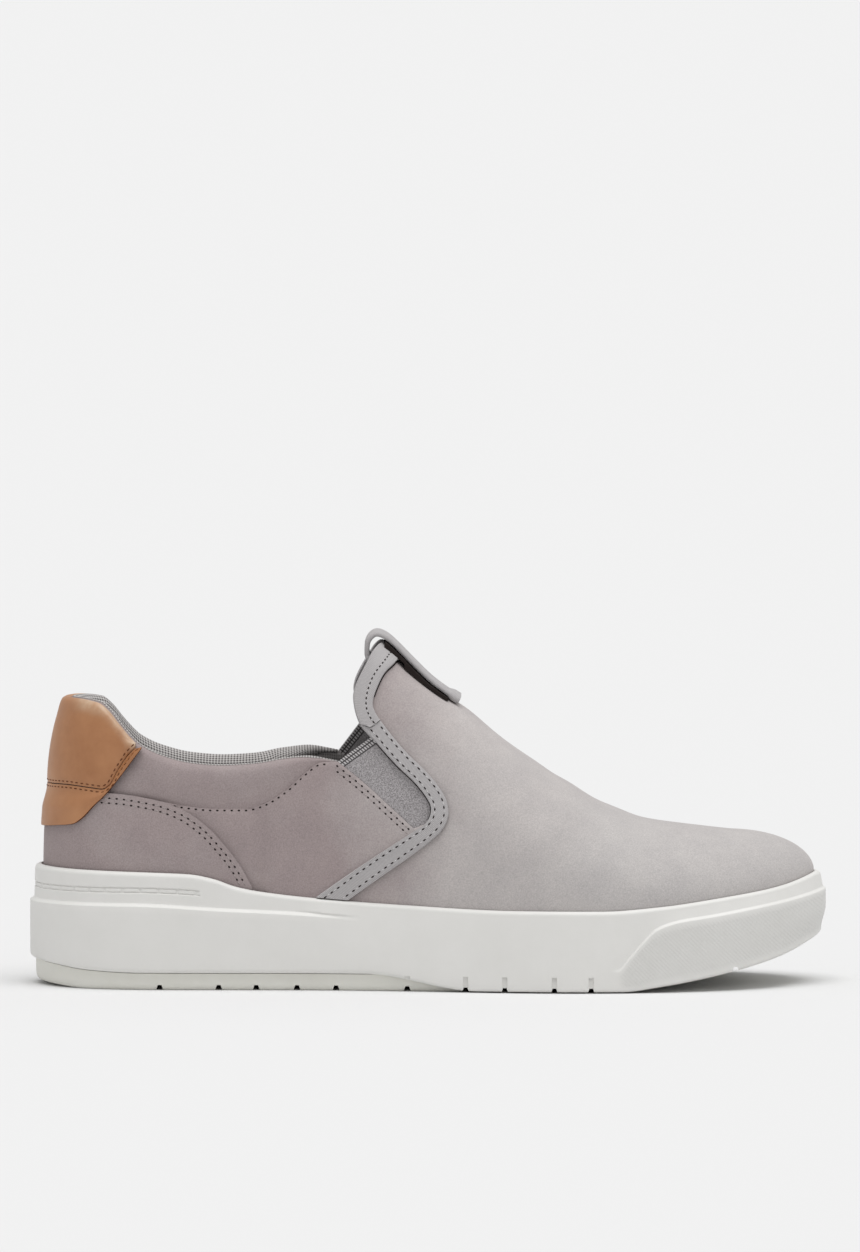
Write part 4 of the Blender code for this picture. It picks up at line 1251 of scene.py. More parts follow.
@dataclass
class UpperShell:
    """Nubuck shell of vamp, flap and quarters, open at the collar and underneath."""
    last: Last
    rows_out: int = 56
    rows_in: int = 18
    seam_dip: float = 0.45 * MM       # the skin dips into the collar seam
    seam_reach: float = 1.7 * MM
    over_top: float = 1.8             # how high over the collar the cutter reaches, in UPPER_RISE
    pole_reach: float = 34 * MM       # stretch round the toe's pole that is smoothed
    # Soft troughs (-) and ridges (+) of the nubuck: share of LENGTH, share of UPPER_RISE, turn in
    # degrees from the x axis, half length and half width in millimetres, height in millimetres
    FORMS = [
        (0.640, 0.300, 62, 30, 5.0, -0.35), (0.668, 0.262, 60, 26, 5.0, 0.25),
        (0.700, 0.215, 58, 26, 5.0, -0.30), (0.560, 0.430, 40, 24, 9.0, -0.35),
        (0.600, 0.120, 20, 30, 9.0, 0.30), (0.300, 0.130, 5, 26, 9.0, -0.40),
        (0.390, 0.180, 30, 18, 7.0, 0.30), (0.120, 0.090, 0, 20, 8.0, -0.30),
    ]

    def relief(self, point: Array) -> Array:
        """The nubuck's soft forms.

        Args:
            point: points of the skin.

        Returns:
            Height of the forms at each.
        """
        rise = np.zeros_like(point[..., 0])
        for along, height, turn, half_long, half_wide, tall in self.FORMS:
            centre = side_view([(along, height)])[0]
            dx, dz = point[..., 0] - centre[0], point[..., 2] - centre[1]
            c, s = math.cos(math.radians(turn)), math.sin(math.radians(turn))
            long = (dx * c + dz * s) / (half_long * MM)
            wide = (dz * c - dx * s) / (half_wide * MM)
            rise += tall * MM * np.exp(-long * long - wide * wide)
        return rise

    def dip(self, point: Array) -> Array:
        """Depth of the dip along the collar seam."""
        away = (point[..., 2] - self.last.collar_seam(point[..., 0])) / self.seam_reach
        return self.seam_dip * (point[..., 0] < NOTCH_X) * np.exp(-away * away)

    def outside(self, u: Array, t: Array) -> Array:
        """Points of the nubuck's outside below the collar."""
        point = self.last.base(u, t)
        return point + self.last.normal(u, t) * (self.relief(point) - self.dip(point))[..., None]

    def inside(self, u: Array, t: Array) -> Array:
        """Points of the lining."""
        return self.last.base(u, t) - self.last.normal(u, t) * WALL

    def opening(self) -> Array:
        """Side view of what is cut away: above the collar seam, and the notch for the gore.

        Returns:
            Points of the outline.
        """
        last = self.last
        high = WALL_HEIGHT + self.over_top * UPPER_RISE
        notch = refine(side_view(NOTCH_REAR), 8)
        xs = np.linspace(x_at(0.02), notch[0, 0], 80)
        collar = np.stack([xs, last.collar_seam(xs)], axis=1)
        turn = refine(side_view(TAPE_REAR[:NOTCH_TURN + 1]), 8)[::-1]
        tip = x_at(FLAP_TIP_REAR)
        corners = [(x_at(-0.1), high), (x_at(-0.1), collar[0, 1])]
        end = [(tip, float(last.crest(tip)) - 0.1 * MM), (tip + 0.5 * MM, high)]
        return np.vstack([corners, collar, notch[1:], turn, end])

    def cutter(self) -> Piece:
        """The opening's outline drawn out across the shoe.

        Returns:
            The cutter.
        """
        outline = self.opening()
        count = len(outline)
        points = [(x, y, z) for y in (-BALL_WIDTH, BALL_WIDTH) for x, z in outline]
        faces = [list(range(count)), list(range(2 * count - 1, count - 1, -1))]
        faces += [[i, (i + 1) % count, count + (i + 1) % count, count + i] for i in range(count)]
        return tidy_mesh(mesh_object("opening", points, faces))

    def build(self) -> Piece:
        """The shell, cut open and smoothed where its sections fan out over the toe.

        Returns:
            The piece.
        """
        last = self.last
        u = last.plan.ring(150, 56, 44)
        foot_x, _ = last.plan.edge(u, LIP)

        def ring(more: float) -> Array:
            """The shell's foot on the cup's floor."""
            x, y = last.plan.edge(u, last.inset(foot_x) + POCKET_TAPER + more)
            return np.stack([x, y, last.cup_floor(x) + GAP], axis=-1)

        outer = [ring(0.0)] + [self.outside(u, np.full_like(u, t)) for t in np.linspace(0, 1, self.rows_out)]
        inner = [ring(WALL)] + [self.inside(u, np.full_like(u, t)) for t in np.linspace(0, 1, self.rows_in)]
        shell = closed_loft("upper_shell", np.array(inner[::-1] + outer), 40)
        self.smooth_pole(shell)
        cut(shell, self.cutter())
        return shell

    def smooth_pole(self, shell: Piece) -> None:
        """Even out the skin round the toe's pole.

        Args:
            shell: the uncut shell.
        """
        group = shell.vertex_groups.new(name="toe")
        pole = (self.last.plan.toe_x, float(self.last.plan.middle(self.last.plan.toe_x)))
        for vertex in shell.data.vertices:
            away = math.dist(vertex.co[:2], pole)
            weight = float(smooth(1.6 * (1 - away / self.pole_reach)))
            if weight > 0 and vertex.co.z > WALL_HEIGHT + 0.02 * UPPER_RISE:
                group.add([vertex.index], weight, "REPLACE")
        modifier = shell.modifiers.new("even", "SMOOTH")
        modifier.factor = 0.5
        modifier.iterations = 30
        modifier.vertex_group = "toe"
        apply(shell, "even")
        shell.vertex_groups.clear()


@dataclass
class Collar:
    """Padded nubuck collar and the mesh lining that rolls over its top."""
    last: Last
    shell: UpperShell
    end: float = 0.3862               # share of LENGTH where it runs out at the gore
    columns: int = 190
    rows: int = 26
    seam_fold: float = 1.6 * MM       # height over which the pad rises out of its seam
    show: float = 1.1 * MM            # the mesh reaches this far down the outside
    reach: float = 24 * MM            # and this far down the inside
    cloth: float = 0.55 * MM
    cloth_rows: int = 30
    off: float = 0.05 * MM            # between the pad and its mesh

    def sections(self) -> tuple[Array, Array, Array]:
        """Sections of the pad from the seam over the rim to the inside.

        Returns:
            Points of the outer and of the inner face, and each row's distance from the rim.
        """
        last = self.last
        u = last.plan.round_heel(self.end, self.columns)[:, None]
        low, high = last.t_on(u, last.collar_seam), last.t_on(u, last.rim)
        t = low + (high - low) * np.sin(0.5 * math.pi * np.linspace(0, 1, self.rows))[None, :]
        point, normal = last.base(u, t), last.normal(u, t)
        above = from_top(point)
        swell = last.swell(point[..., 0], point[..., 2])
        fold = 1 - smooth((above[:, :1] - above) / self.seam_fold)
        out = last.outer_pad(point) - self.shell.seam_dip * fold
        into = -WALL - PAD_IN * swell
        middle = 0.5 * (out[:, -1:] + into[:, -1:])
        half = 0.5 * (out[:, -1:] - into[:, -1:])
        reach = np.minimum(half * 1.25, 0.7 * above[:, :1])
        round_off = np.sqrt(np.clip(1 - (1 - np.clip(above / reach, 0, 1)) ** 2, 0, 1))
        faces = [point + normal * (middle + (lift - middle) * round_off)[..., None] for lift in (out, into)]
        return faces[0], faces[1], above

    def build(self) -> list[Piece]:
        """The pad and its mesh lining."""
        outer, inner, above = self.sections()
        whole = np.concatenate([outer, inner[:, -2::-1]], axis=1)
        return [tube("collar_pad", whole, 60), self.lining(whole, above[:, 0])]

    def lining(self, whole: Array, tall: Array) -> Piece:
        """Mesh cloth from just over the rim down the inside.

        Args:
            whole: the pad's sections.
            tall: how far the rim stands over the seam at each.

        Returns:
            The cloth.
        """
        lines = []
        for section, height in zip(whole, tall):
            run = run_along(section)
            start = run[self.rows - 1] - min(self.show, 0.35 * height)
            stop = min(run[self.rows - 1] + self.reach, run[-1])
            lines.append(read_path(section, run, np.linspace(start, stop, self.cloth_rows)))
        low = np.array(lines)
        normal = np.cross(np.gradient(low, axis=0), np.gradient(low, axis=1))
        normal /= np.maximum(np.linalg.norm(normal, axis=-1, keepdims=True), 1e-12)
        if np.mean(normal[:, 10, 2]) < 0 and np.mean(normal[:, 0, 1] * low[:, 0, 1]) < 0:
            normal = -normal
        shape = np.sin(math.pi * np.clip(np.linspace(0, 1, self.cloth_rows), 0.02, 0.98)) ** 0.25
        over = low + normal * (self.cloth * shape[None, :, None])
        return plate("collar_mesh", low + normal * self.off, over, 60)


@dataclass
class HeelPieces:
    """Nubuck heel panel, tan leather patch and padded tan leather tab."""
    last: Last
    panel_columns: int = 150
    patch_columns: int = 90
    tuck: float = 3.0 * MM            # the panel runs this far down into the cup
    tab_pad: float = 2.1 * MM
    tab_drop: float = 0.8 * MM
    patch_gap: float = 0.35 * MM      # the patch stops this far under the tab
    patch_thickness: float = 1.1 * MM
    panel_under: float = 4.5 * MM     # the panel runs this far up under the patch
    # reach below the rim of the tab's painted highlight
    painted_rim_highlight: float = 7 * MM
    tab_roll: float = 3.4 * MM        # height over which the tab rolls in towards the rim
    roll_depth: float = 1.3 * MM

    def face(self, end: float, count: int, low: Line, high: Line, lift: Line, thickness: Line, rows: int,
             roll: float = 0.0) -> tuple[Array, Array]:
        """Under and upper face of an overlay round the heel.

        Args:
            end: share of LENGTH where its two ends lie.
            count: columns round the heel.
            low, high: its foot and its top in side view.
            lift: how far its under face lies off the skin, over the share of its height.
            thickness: thickness over the share of its height.
            rows: points up each column.
            roll: how far its top rolls in.

        Returns:
            Grids of the under and of the upper face.
        """
        last = self.last
        u = last.plan.round_heel(end, count)[:, None]
        t_low, t_high = last.t_on(u, low), last.t_on(u, high)
        share = np.linspace(0, 1, rows)[None, :]
        t = t_low + (t_high - t_low) * share
        base, normal = last.base(u, t), last.normal(u, t)
        bend = 1 - np.sqrt(1 - (1 - np.clip(from_top(base) / self.tab_roll, 0, 1)) ** 2)
        under = last.outer_pad(base) + lift(share) - roll * bend
        over = under + thickness(share)
        return base + normal * under[..., None], base + normal * over[..., None]

    def rounded(self, name: str, faces: tuple[Array, Array], width: float) -> Piece:
        """A sheet with rounded edges.

        Args:
            name: the piece's name.
            faces: grids of its under and upper face.
            width: width of the rounding.

        Returns:
            The piece.
        """
        obj = plate(name, *faces)
        modifier = obj.modifiers.new("edge", "BEVEL")
        modifier.width = width
        modifier.segments = 2
        modifier.limit_method = "ANGLE"
        modifier.angle_limit = math.radians(50)
        modifier.use_clamp_overlap = True
        apply(obj, "edge")
        return tidy_mesh(obj, 50)

    def build(self) -> list[Piece]:
        """Panel, patch and tab.

        Returns:
            The pieces.
        """
        last = self.last

        def panel_top(x: Array) -> Array:
            """Top of the panel, which ends under the patch at the back."""
            return np.minimum(last.panel_top(x), last.patch_foot(x) + self.panel_under)

        faces = self.face(PANEL_END, self.panel_columns, last.feather, panel_top,
                          level(SEAT), level(OVERLAY), 26)
        down = np.array([0, 0, self.tuck])
        faces = [np.concatenate([face[:, :1] - down, face], axis=1) for face in faces]
        panel = self.rounded("heel_panel_nubuck", faces, 0.35 * MM)

        def patch_top(x: Array) -> Array:
            """Top of the patch, along the tab's foot and up to the rim."""
            return np.minimum(last.tab_foot(x) - self.patch_gap, last.rim(x) - self.tab_drop)

        def patch_lift(share: Array) -> Array:
            """The patch lies over the panel at its foot and sinks to the tab's foot at its top."""
            over = SEAT + OVERLAY + 0.15 * MM
            return over - (over - 0.8 * MM) * smooth((share - 0.38) / 0.5)

        def padding(share: Array) -> Array:
            """Thickness of the padded tab."""
            return self.tab_pad * (0.5 + 0.5 * np.sin(math.pi * np.clip(share, 0.0, 0.75)) ** 0.6)

        def tab_top(x: Array) -> Array:
            """Top of the tab, just under the rim."""
            return last.rim(x) - self.tab_drop

        patch = self.face(PATCH_END, self.patch_columns, last.patch_foot, patch_top, patch_lift,
                          level(self.patch_thickness), 20)
        tab = self.face(TAB_END, self.patch_columns, last.tab_foot, tab_top, level(SEAT + GAP), padding, 30,
                        self.roll_depth)
        pieces = [panel, self.rounded("heel_patch_leather", patch, 0.48 * MM),
                  self.rounded("heel_tab_leather", tab, 0.45 * MM)]
        self.mark_rim(pieces[2])
        return pieces

    def mark_rim(self, tab: Piece) -> None:
        """Mark how near the tab's leather is to the collar's rim, where a paler highlight is painted on it.
        """
        x, _, z = vertex_places(tab).T
        near = smooth(1 - (self.last.rim(x) - z) / self.painted_rim_highlight)
        mark(tab, "painted_rim_highlight", near * smooth((x - x_at(0.045)) / (9 * MM)))


@dataclass
class Gore:
    """Elastic wedge between the quarter and the vamp."""
    last: Last
    side: Side
    thickness: float = 1.4 * MM
    sink: float = 0.5 * MM
    clear: float = 0.03 * MM
    rows: int = 48
    columns: int = 20
    selvedge: float = 2.6 * MM
    selvedge_rise: float = 0.35 * MM

    def build(self) -> Piece:
        """The wedge, a little thicker along its woven top edge.

        Returns:
            The piece.
        """
        share = np.linspace(0, 1, self.rows)
        edges = []
        for table in (NOTCH_REAR, [GORE_TOPS[self.side.value]] + TAPE_REAR[GORE_TOP_ROW:NOTCH_TURN + 1]):
            path = even(refine(side_view(table), 6), MM)
            run = run_along(path)
            edges.append(read_path(path, run, share * run[-1]))
        inward = unit(edges[1] - edges[0]) * 2 * self.clear
        rear, front = edges[0] + inward, edges[1] - inward
        across = np.linspace(0, 1, self.columns)[None, :, None]
        places = rear[:, None] * (1 - across) + front[:, None] * across
        u, t = self.last.locate(places.reshape(-1, 2), self.side)
        u, t = u.reshape(places.shape[:2]), t.reshape(places.shape[:2])
        down = np.cumsum(np.linalg.norm(np.diff(places, axis=0, prepend=places[:1]), axis=-1), axis=0)
        rise = self.selvedge_rise * smooth((self.selvedge - down) / (0.5 * MM) + 0.5)
        low, high = (self.last.skin(u, t, lift) for lift in (-self.sink - self.thickness, rise - self.sink))
        return plate(f"gore_{self.side.name.lower()}_elastic", low, high, 50)


@dataclass
class Binding:
    """Webbing tape that binds the vamp's rear edge: one strip down each side, one over the flap."""
    last: Last
    thickness: float = 1.3 * MM
    nose: float = 0.055               # how far the fold reaches past the cut edge, in its width
    parts: int = 6
    tip_rows: int = 16
    tuck: float = 0.9 * MM            # the inner leg lies this far off the lining
    inner_leg: float = 0.45           # width of the inner leg, as a share
    joint_gap: float = 0.10           # between the strips, in rows
    joint_rise: float = 0.45 * MM     # the upper strip is thicker towards its end
    joint_run: float = 9.0            # over so many rows
    joint_rows: int = 44
    # Where the strips meet: share of the width from the rear, row of the tape's tables
    JOINT = [(0.0, 3.0), (0.2, 3.45), (0.66, 3.60), (1.0, 3.674)]

    def __post_init__(self) -> None:
        """Lay the tape's edges on both sides."""
        self.ends = {side: self.edges(side) for side in Side}
        self.foot = self.row(len(TAPE_REAR) - 1)

    def row(self, place: float) -> float:
        """The row of the finished edges at a row of the tape's tables."""
        return self.tip_rows + 1 + self.parts * place

    def edges(self, side: Side) -> tuple[Array, Array]:
        """Rear and front edge of the tape.

        Args:
            side: the side.

        Returns:
            Rows of u and t for each edge, from the flap's tip down.
        """
        edges = []
        for table, tip in ((TAPE_REAR, FLAP_TIP_REAR), (TAPE_FRONT, FLAP_TIP_FRONT)):
            u, t = self.last.locate(refine(side_view(table), self.parts), side)
            share = np.arange(self.tip_rows + 1, 0, -1) / (self.tip_rows + 1)
            over_u = float(self.last.plan.place(x_at(tip), side)) * share + u[0] * (1 - share)
            over_t = share + t[0] * (1 - share)
            edges.append(np.stack([np.concatenate([over_u, u]), np.concatenate([over_t, t])], axis=1))
        return edges[0], edges[1]

    def joint(self, across: Array | float) -> Array:
        """Row at which the strips meet, over the width."""
        return self.row(np.interp(across, *zip(*self.JOINT)))

    def spots(self, side: Side, across: Array, rows: Array) -> Array:
        """u and t at shares of the width and at rows down the tape."""
        rear, front = ([np.interp(rows, np.arange(len(edge)), edge[:, k]) for k in range(2)]
                       for edge in self.ends[side])
        return np.stack([a + (b - a) * across for a, b in zip(rear, front)], axis=-1)

    def line(self, side: Side, across: float, start: float, stop: float) -> Array:
        """A path of u and t down the tape at one share of its width."""
        rows = np.linspace(start, stop, 120)
        return self.spots(side, np.full(len(rows), across), rows)

    def surface(self, side: Side, across: Array, lift: Array, rows: Array) -> Array:
        """Points of the tape's section at rows down one side."""
        spot = self.spots(side, np.broadcast_to(across, rows.shape), rows)
        return self.last.skin(spot[..., 0], spot[..., 1], lift * np.ones(rows.shape))

    def section(self) -> tuple[Array, Array]:
        """The folded tape's section, from its front edge over the top and round the fold.

        Returns:
            Shares of its width and heights over the skin.
        """
        top, low, inner = SEAT + self.thickness, -WALL - self.tuck, -WALL - self.tuck + 0.6 * MM
        turns = np.radians(np.linspace(90, 270, 9))
        outer = [(1.0, SEAT), (1.0, SEAT + 0.6 * self.thickness), (0.985, SEAT + 0.88 * self.thickness),
                 (0.95, top), (0.75, top), (0.5, top), (0.25, top), (0.05, top)]
        nose = zip(self.nose * np.cos(turns), 0.5 * (top + low) + 0.5 * (top - low) * np.sin(turns))
        leg = [(0.1, low), (self.inner_leg, low), (self.inner_leg, inner), (0.1, inner),
               (0.0, 0.5 * (SEAT - WALL)), (0.1, SEAT)]
        across, lift = np.array(outer + list(nose) + leg).T
        return across, lift

    def build(self) -> list[Piece]:
        """The strip over the flap and the two below it.

        Returns:
            The pieces.
        """
        across, lift = self.section()
        meet = self.joint(np.clip(across, 0, 1))[None, :]
        share = np.linspace(0, 1, self.joint_rows)[:, None]
        rows = meet * share
        raised = lift > SEAT + 0.5 * self.thickness
        rise = self.joint_rise * smooth(1 - (meet - rows) / self.joint_run) * raised[None, :]
        halves = [self.surface(side, across, lift + rise, rows) for side in Side]
        pieces = [tube("binding_tape_flap", np.concatenate([halves[0][:0:-1], halves[1]], axis=0), 50)]
        start = meet + self.joint_gap
        rows = start + (self.foot - start) * share
        for side in Side:
            points = self.surface(side, across, lift, rows)
            pieces.append(tube(f"binding_tape_{side.name.lower()}", points, 50))
        return pieces

    def seam(self, name: str, paths: Sequence[Array], lift: float, width: float) -> Piece:
        """Thin dark lines of painted shadow along paths on the skin, as one mesh.

        Args:
            name: the piece's name.
            paths: rows of u and t of each line.
            lift: height over the skin.
            width: width of the line.

        Returns:
            The joined object.
        """
        made = []
        for k, path in enumerate(paths):
            sections = []
            for a, b in ((-1, -1), (-1, 1), (1, 1), (1, -1)):
                u, t = self.last.shift(path[:, 0], path[:, 1], a * width / 2)
                sections.append(self.last.skin(u, t, np.full(len(u), lift + b * width / 2)))
            made.append(tube(f"{name}_{k}", np.stack(sections, axis=1), 50))
        return join(name, made)


@dataclass
class PullLoop:
    """Webbing loop over the flap's top, with the dark strip that lies under it: a dark lower ply, with
    painted shade under the strap.
    """
    last: Last
    width: float = 20 * MM
    thickness: float = 1.9 * MM
    inner_run: float = 12 * MM
    sewn_run: float = 5 * MM
    sewn_more: float = 1.3 * MM       # the sewn end is this much thicker
    droop: float = 0.4                # how closely the free strap follows the flap's arch
    slit: float = 0.3 * MM            # light shows between the strap and the strip under it
    strip_width: float = 23.5 * MM
    strip_start: float = 0.7 * MM     # the strip begins this far behind the flap's tip
    tape_top: float = 1.95 * MM       # the strip clears the binding tape
    strip_rows: int = 60
    strip_columns: int = 11
    strip_least: float = 0.25 * MM    # least height of the strip

    def crest_offset(self, x: float, lift: float) -> Array:
        """Point of the centre section at x, moved off the crest by lift: x and z."""
        slope = float(self.last.crest(x + MM) - self.last.crest(x - MM)) / (2 * MM)
        size = math.hypot(slope, 1)
        return np.array([x - slope / size * lift, float(self.last.crest(x)) + lift / size])

    def arch_drop(self, x: float, y: Array) -> Array:
        """How far the skin falls from the crest.

        Args:
            x: place of the section.
            y: places across it.

        Returns:
            The fall at each y.
        """
        last = self.last
        near, _ = last.plan.edge(last.plan.place(x, Side.OUTER), LIP)
        _, foot_y = last.plan.edge(last.plan.place(x, Side.OUTER), last.inset(near))
        reach = abs(float(foot_y) - float(last.plan.middle(x))) * (1 - SIDE_LEAN)
        power = float(last.fullness(x))
        tall = float(last.crest(x) - last.feather(x))
        return tall * (1 - (1 - (np.abs(y) / reach) ** power) ** (1 / power))

    def path(self) -> Array:
        """The loop's middle line in side view, from its sewn end.

        Returns:
            Points along it.
        """
        half = 0.5 * self.thickness
        sewn, tip = x_at(LOOP_SEWN), x_at(FLAP_TIP_REAR)
        rows = [self.crest_offset(sewn - run, half + SEAT + 0.5 * self.sewn_more)
                for run in (0, 0.5 * self.sewn_run, self.sewn_run)]
        rows += list(side_view(LOOP_TOP))
        rows += [self.crest_offset(tip + self.inner_run * k, -WALL - 2 * SEAT - half) for k in (0.45, 1.0)]
        return even(refine(np.array(rows), 8), 0.6 * MM)

    def strap(self, name: str, middle: Array, half: Array, width: float, droop: Array) -> Piece:
        """A flat strap with rounded edges, bent over the flap.

        Args:
            name: the piece's name.
            middle: x and z of its middle line.
            half: half its thickness along the line.
            width: its width.
            droop: how closely it follows the flap's arch along the line.

        Returns:
            The object.
        """
        ahead = unit(np.gradient(middle, axis=0))
        turns = np.radians(np.linspace(-90, 90, 6))
        flat = np.linspace(-1, 1, 9)[1:-1]
        rows = []
        for (x, z), (ax, az), thick, bend in zip(middle, ahead, half, droop):
            side_y = 0.5 * width - thick + thick * np.cos(turns)
            run = flat * (0.5 * width - thick)
            ys = np.concatenate([side_y, run[::-1], -side_y[::-1], run])
            up = thick * np.concatenate([np.sin(turns), np.ones(7), np.sin(turns[::-1]), -np.ones(7)])
            near = max(x, x_at(FLAP_TIP_REAR))
            drop = self.arch_drop(near, ys) * bend
            rows.append(np.stack([x + az * up, float(self.last.plan.middle(near)) + ys, z - ax * up - drop],
                                 axis=1))
        return tube(name, np.array(rows), 50)

    def build(self) -> list[Piece]:
        """The strap and the strip under it.

        Returns:
            The pieces.
        """
        path = self.path()
        end = smooth((self.sewn_run - run_along(path)) / (0.5 * self.sewn_run))
        under = path[:, 1] < path[:, 1].max() - 4 * MM
        inside = smooth((x_at(FLAP_TIP_REAR) - path[:, 0]) / (2 * MM)) * under
        droop = self.droop + (1 - self.droop) * np.maximum(end, inside)
        half = 0.5 * (self.thickness + self.sewn_more * end)
        strap = self.strap("pull_loop_webbing", path, half, self.width, droop)
        return [strap, self.under_strip(path)]

    def under_strip(self, path: Array) -> Piece:
        """Dark strip that fills the space between the flap's crest and the strap: a dark lower ply, and
        painted shade under the strap.

        Args:
            path: the strap's middle line.

        Returns:
            The strip.
        """
        ahead = unit(np.gradient(path, axis=0))
        under = path - 0.5 * self.thickness * np.stack([ahead[:, 1], -ahead[:, 0]], axis=1)
        under = under[:int(np.argmin(path[:, 0] > x_at(FLAP_TIP_REAR) - 3 * MM))]
        ys = np.linspace(-0.5, 0.5, self.strip_columns) * self.strip_width
        rows = []
        start, stop = x_at(FLAP_TIP_REAR) - self.strip_start, x_at(LOOP_SEWN) - self.sewn_run + 1.5 * MM
        for x in np.linspace(start, stop, self.strip_rows):
            over_tape = smooth((x_at(FLAP_TIP_FRONT) + 0.9 * MM - x) / (0.8 * MM))
            low = self.crest_offset(x, SEAT + (self.tape_top - SEAT) * over_tape)
            up = unit(np.array([low[0] - x, low[1] - float(self.last.crest(x))]))
            nearest = int(np.argmin(np.abs((under - low) @ np.array([up[1], -up[0]]))))
            tall = max(float((under[nearest] - low) @ up) - self.slit, self.strip_least)
            high = low + up * tall
            drop = self.arch_drop(x, ys)
            middle = float(self.last.plan.middle(x)) + ys
            bottom, top = (np.stack([np.full(len(ys), end[0]), middle, end[1] - drop * bend], axis=1)
                           for end, bend in ((low, 1.0), (high, self.droop)))
            rows.append(np.concatenate([top, bottom[::-1]]))
        return tube("pull_loop_under_strip", np.array(rows), 50)


class Sewing:
    """Threads, or dark beads that paint the shade of needle holes, laid in rows on finished pieces, as one
    joined mesh.
    """

    HIGH = 9 * MM                 # the rows are dropped onto the pieces from this height
    SPAN = 0.3                    # share of a thread's length over which its direction is taken

    def __init__(self, last: Last, name: str, size: Size) -> None:
        """Start with no rows.

        Args:
            last: the surface that the rows follow.
            name: name of the finished piece.
            size: length, width and height of one thread or hole.
        """
        self.last = last
        self.name = name
        self.size = np.array(size)
        self.frames: list[Array] = []

    def row(self, piece: Piece, path: Array, pitch: float, phase: float = 0.0) -> None:
        """Add a row along a path.

        Args:
            piece: the finished piece that the row lies on.
            path: rows of u and t.
            pitch: distance from one to the next.
            phase: share of the pitch before the first.
        """
        tree = BVHTree.FromObject(piece, bpy.context.evaluated_depsgraph_get())
        run = run_along(self.last.skin(*path.T))
        places = np.arange(phase * pitch, run[-1], pitch)
        step = self.SPAN * self.size[0]
        before, spots, after = (read_path(path, run, places + move).T for move in (-step, 0, step))
        starts, normals = self.last.skin(*spots, self.HIGH), self.last.normal(*spots)
        spans = self.last.skin(*after) - self.last.skin(*before)
        for start, normal, span in zip(starts, normals, spans):
            hit, face, _, _ = tree.ray_cast(Vector(start), Vector(-normal), 2 * self.HIGH)
            if hit is None or np.linalg.norm(span) < 1e-7:
                continue
            up = face if face.dot(Vector(normal)) > 0 else -face
            along = Vector(span)
            along = (along - up * along.dot(up)).normalized()
            self.frames.append(np.array([hit, along, up.cross(along), up]))

    def build(self) -> Piece:
        """All the rows, each thread a copy of one modelled shape.

        Returns:
            The piece.
        """
        deselect()
        bpy.ops.mesh.primitive_ico_sphere_add(subdivisions=1, radius=0.5)
        seed = bpy.context.active_object
        shape = np.array([vertex.co for vertex in seed.data.vertices]) * self.size
        faces = np.array([face.vertices for face in seed.data.polygons])
        bpy.data.objects.remove(seed)
        frames = np.array(self.frames)
        points = frames[:, None, 0] + np.einsum("vk,nkc->nvc", shape, frames[:, 1:])
        whole = (faces[None] + len(shape) * np.arange(len(frames))[:, None, None]).reshape(-1, 3)
        obj = mesh_object(self.name, points.reshape(-1, 3).tolist(), whole.tolist())
        obj.data.polygons.foreach_set("use_smooth", np.ones(len(whole), bool))
        return obj


def linear(colour: Colour) -> tuple[float, float, float, float]:
    """An sRGB colour of 255 parts as linear RGBA."""
    parts = [c / 255 for c in colour]
    return (*[p / 12.92 if p <= 0.04045 else ((p + 0.055) / 1.055) ** 2.4 for p in parts], 1.0)


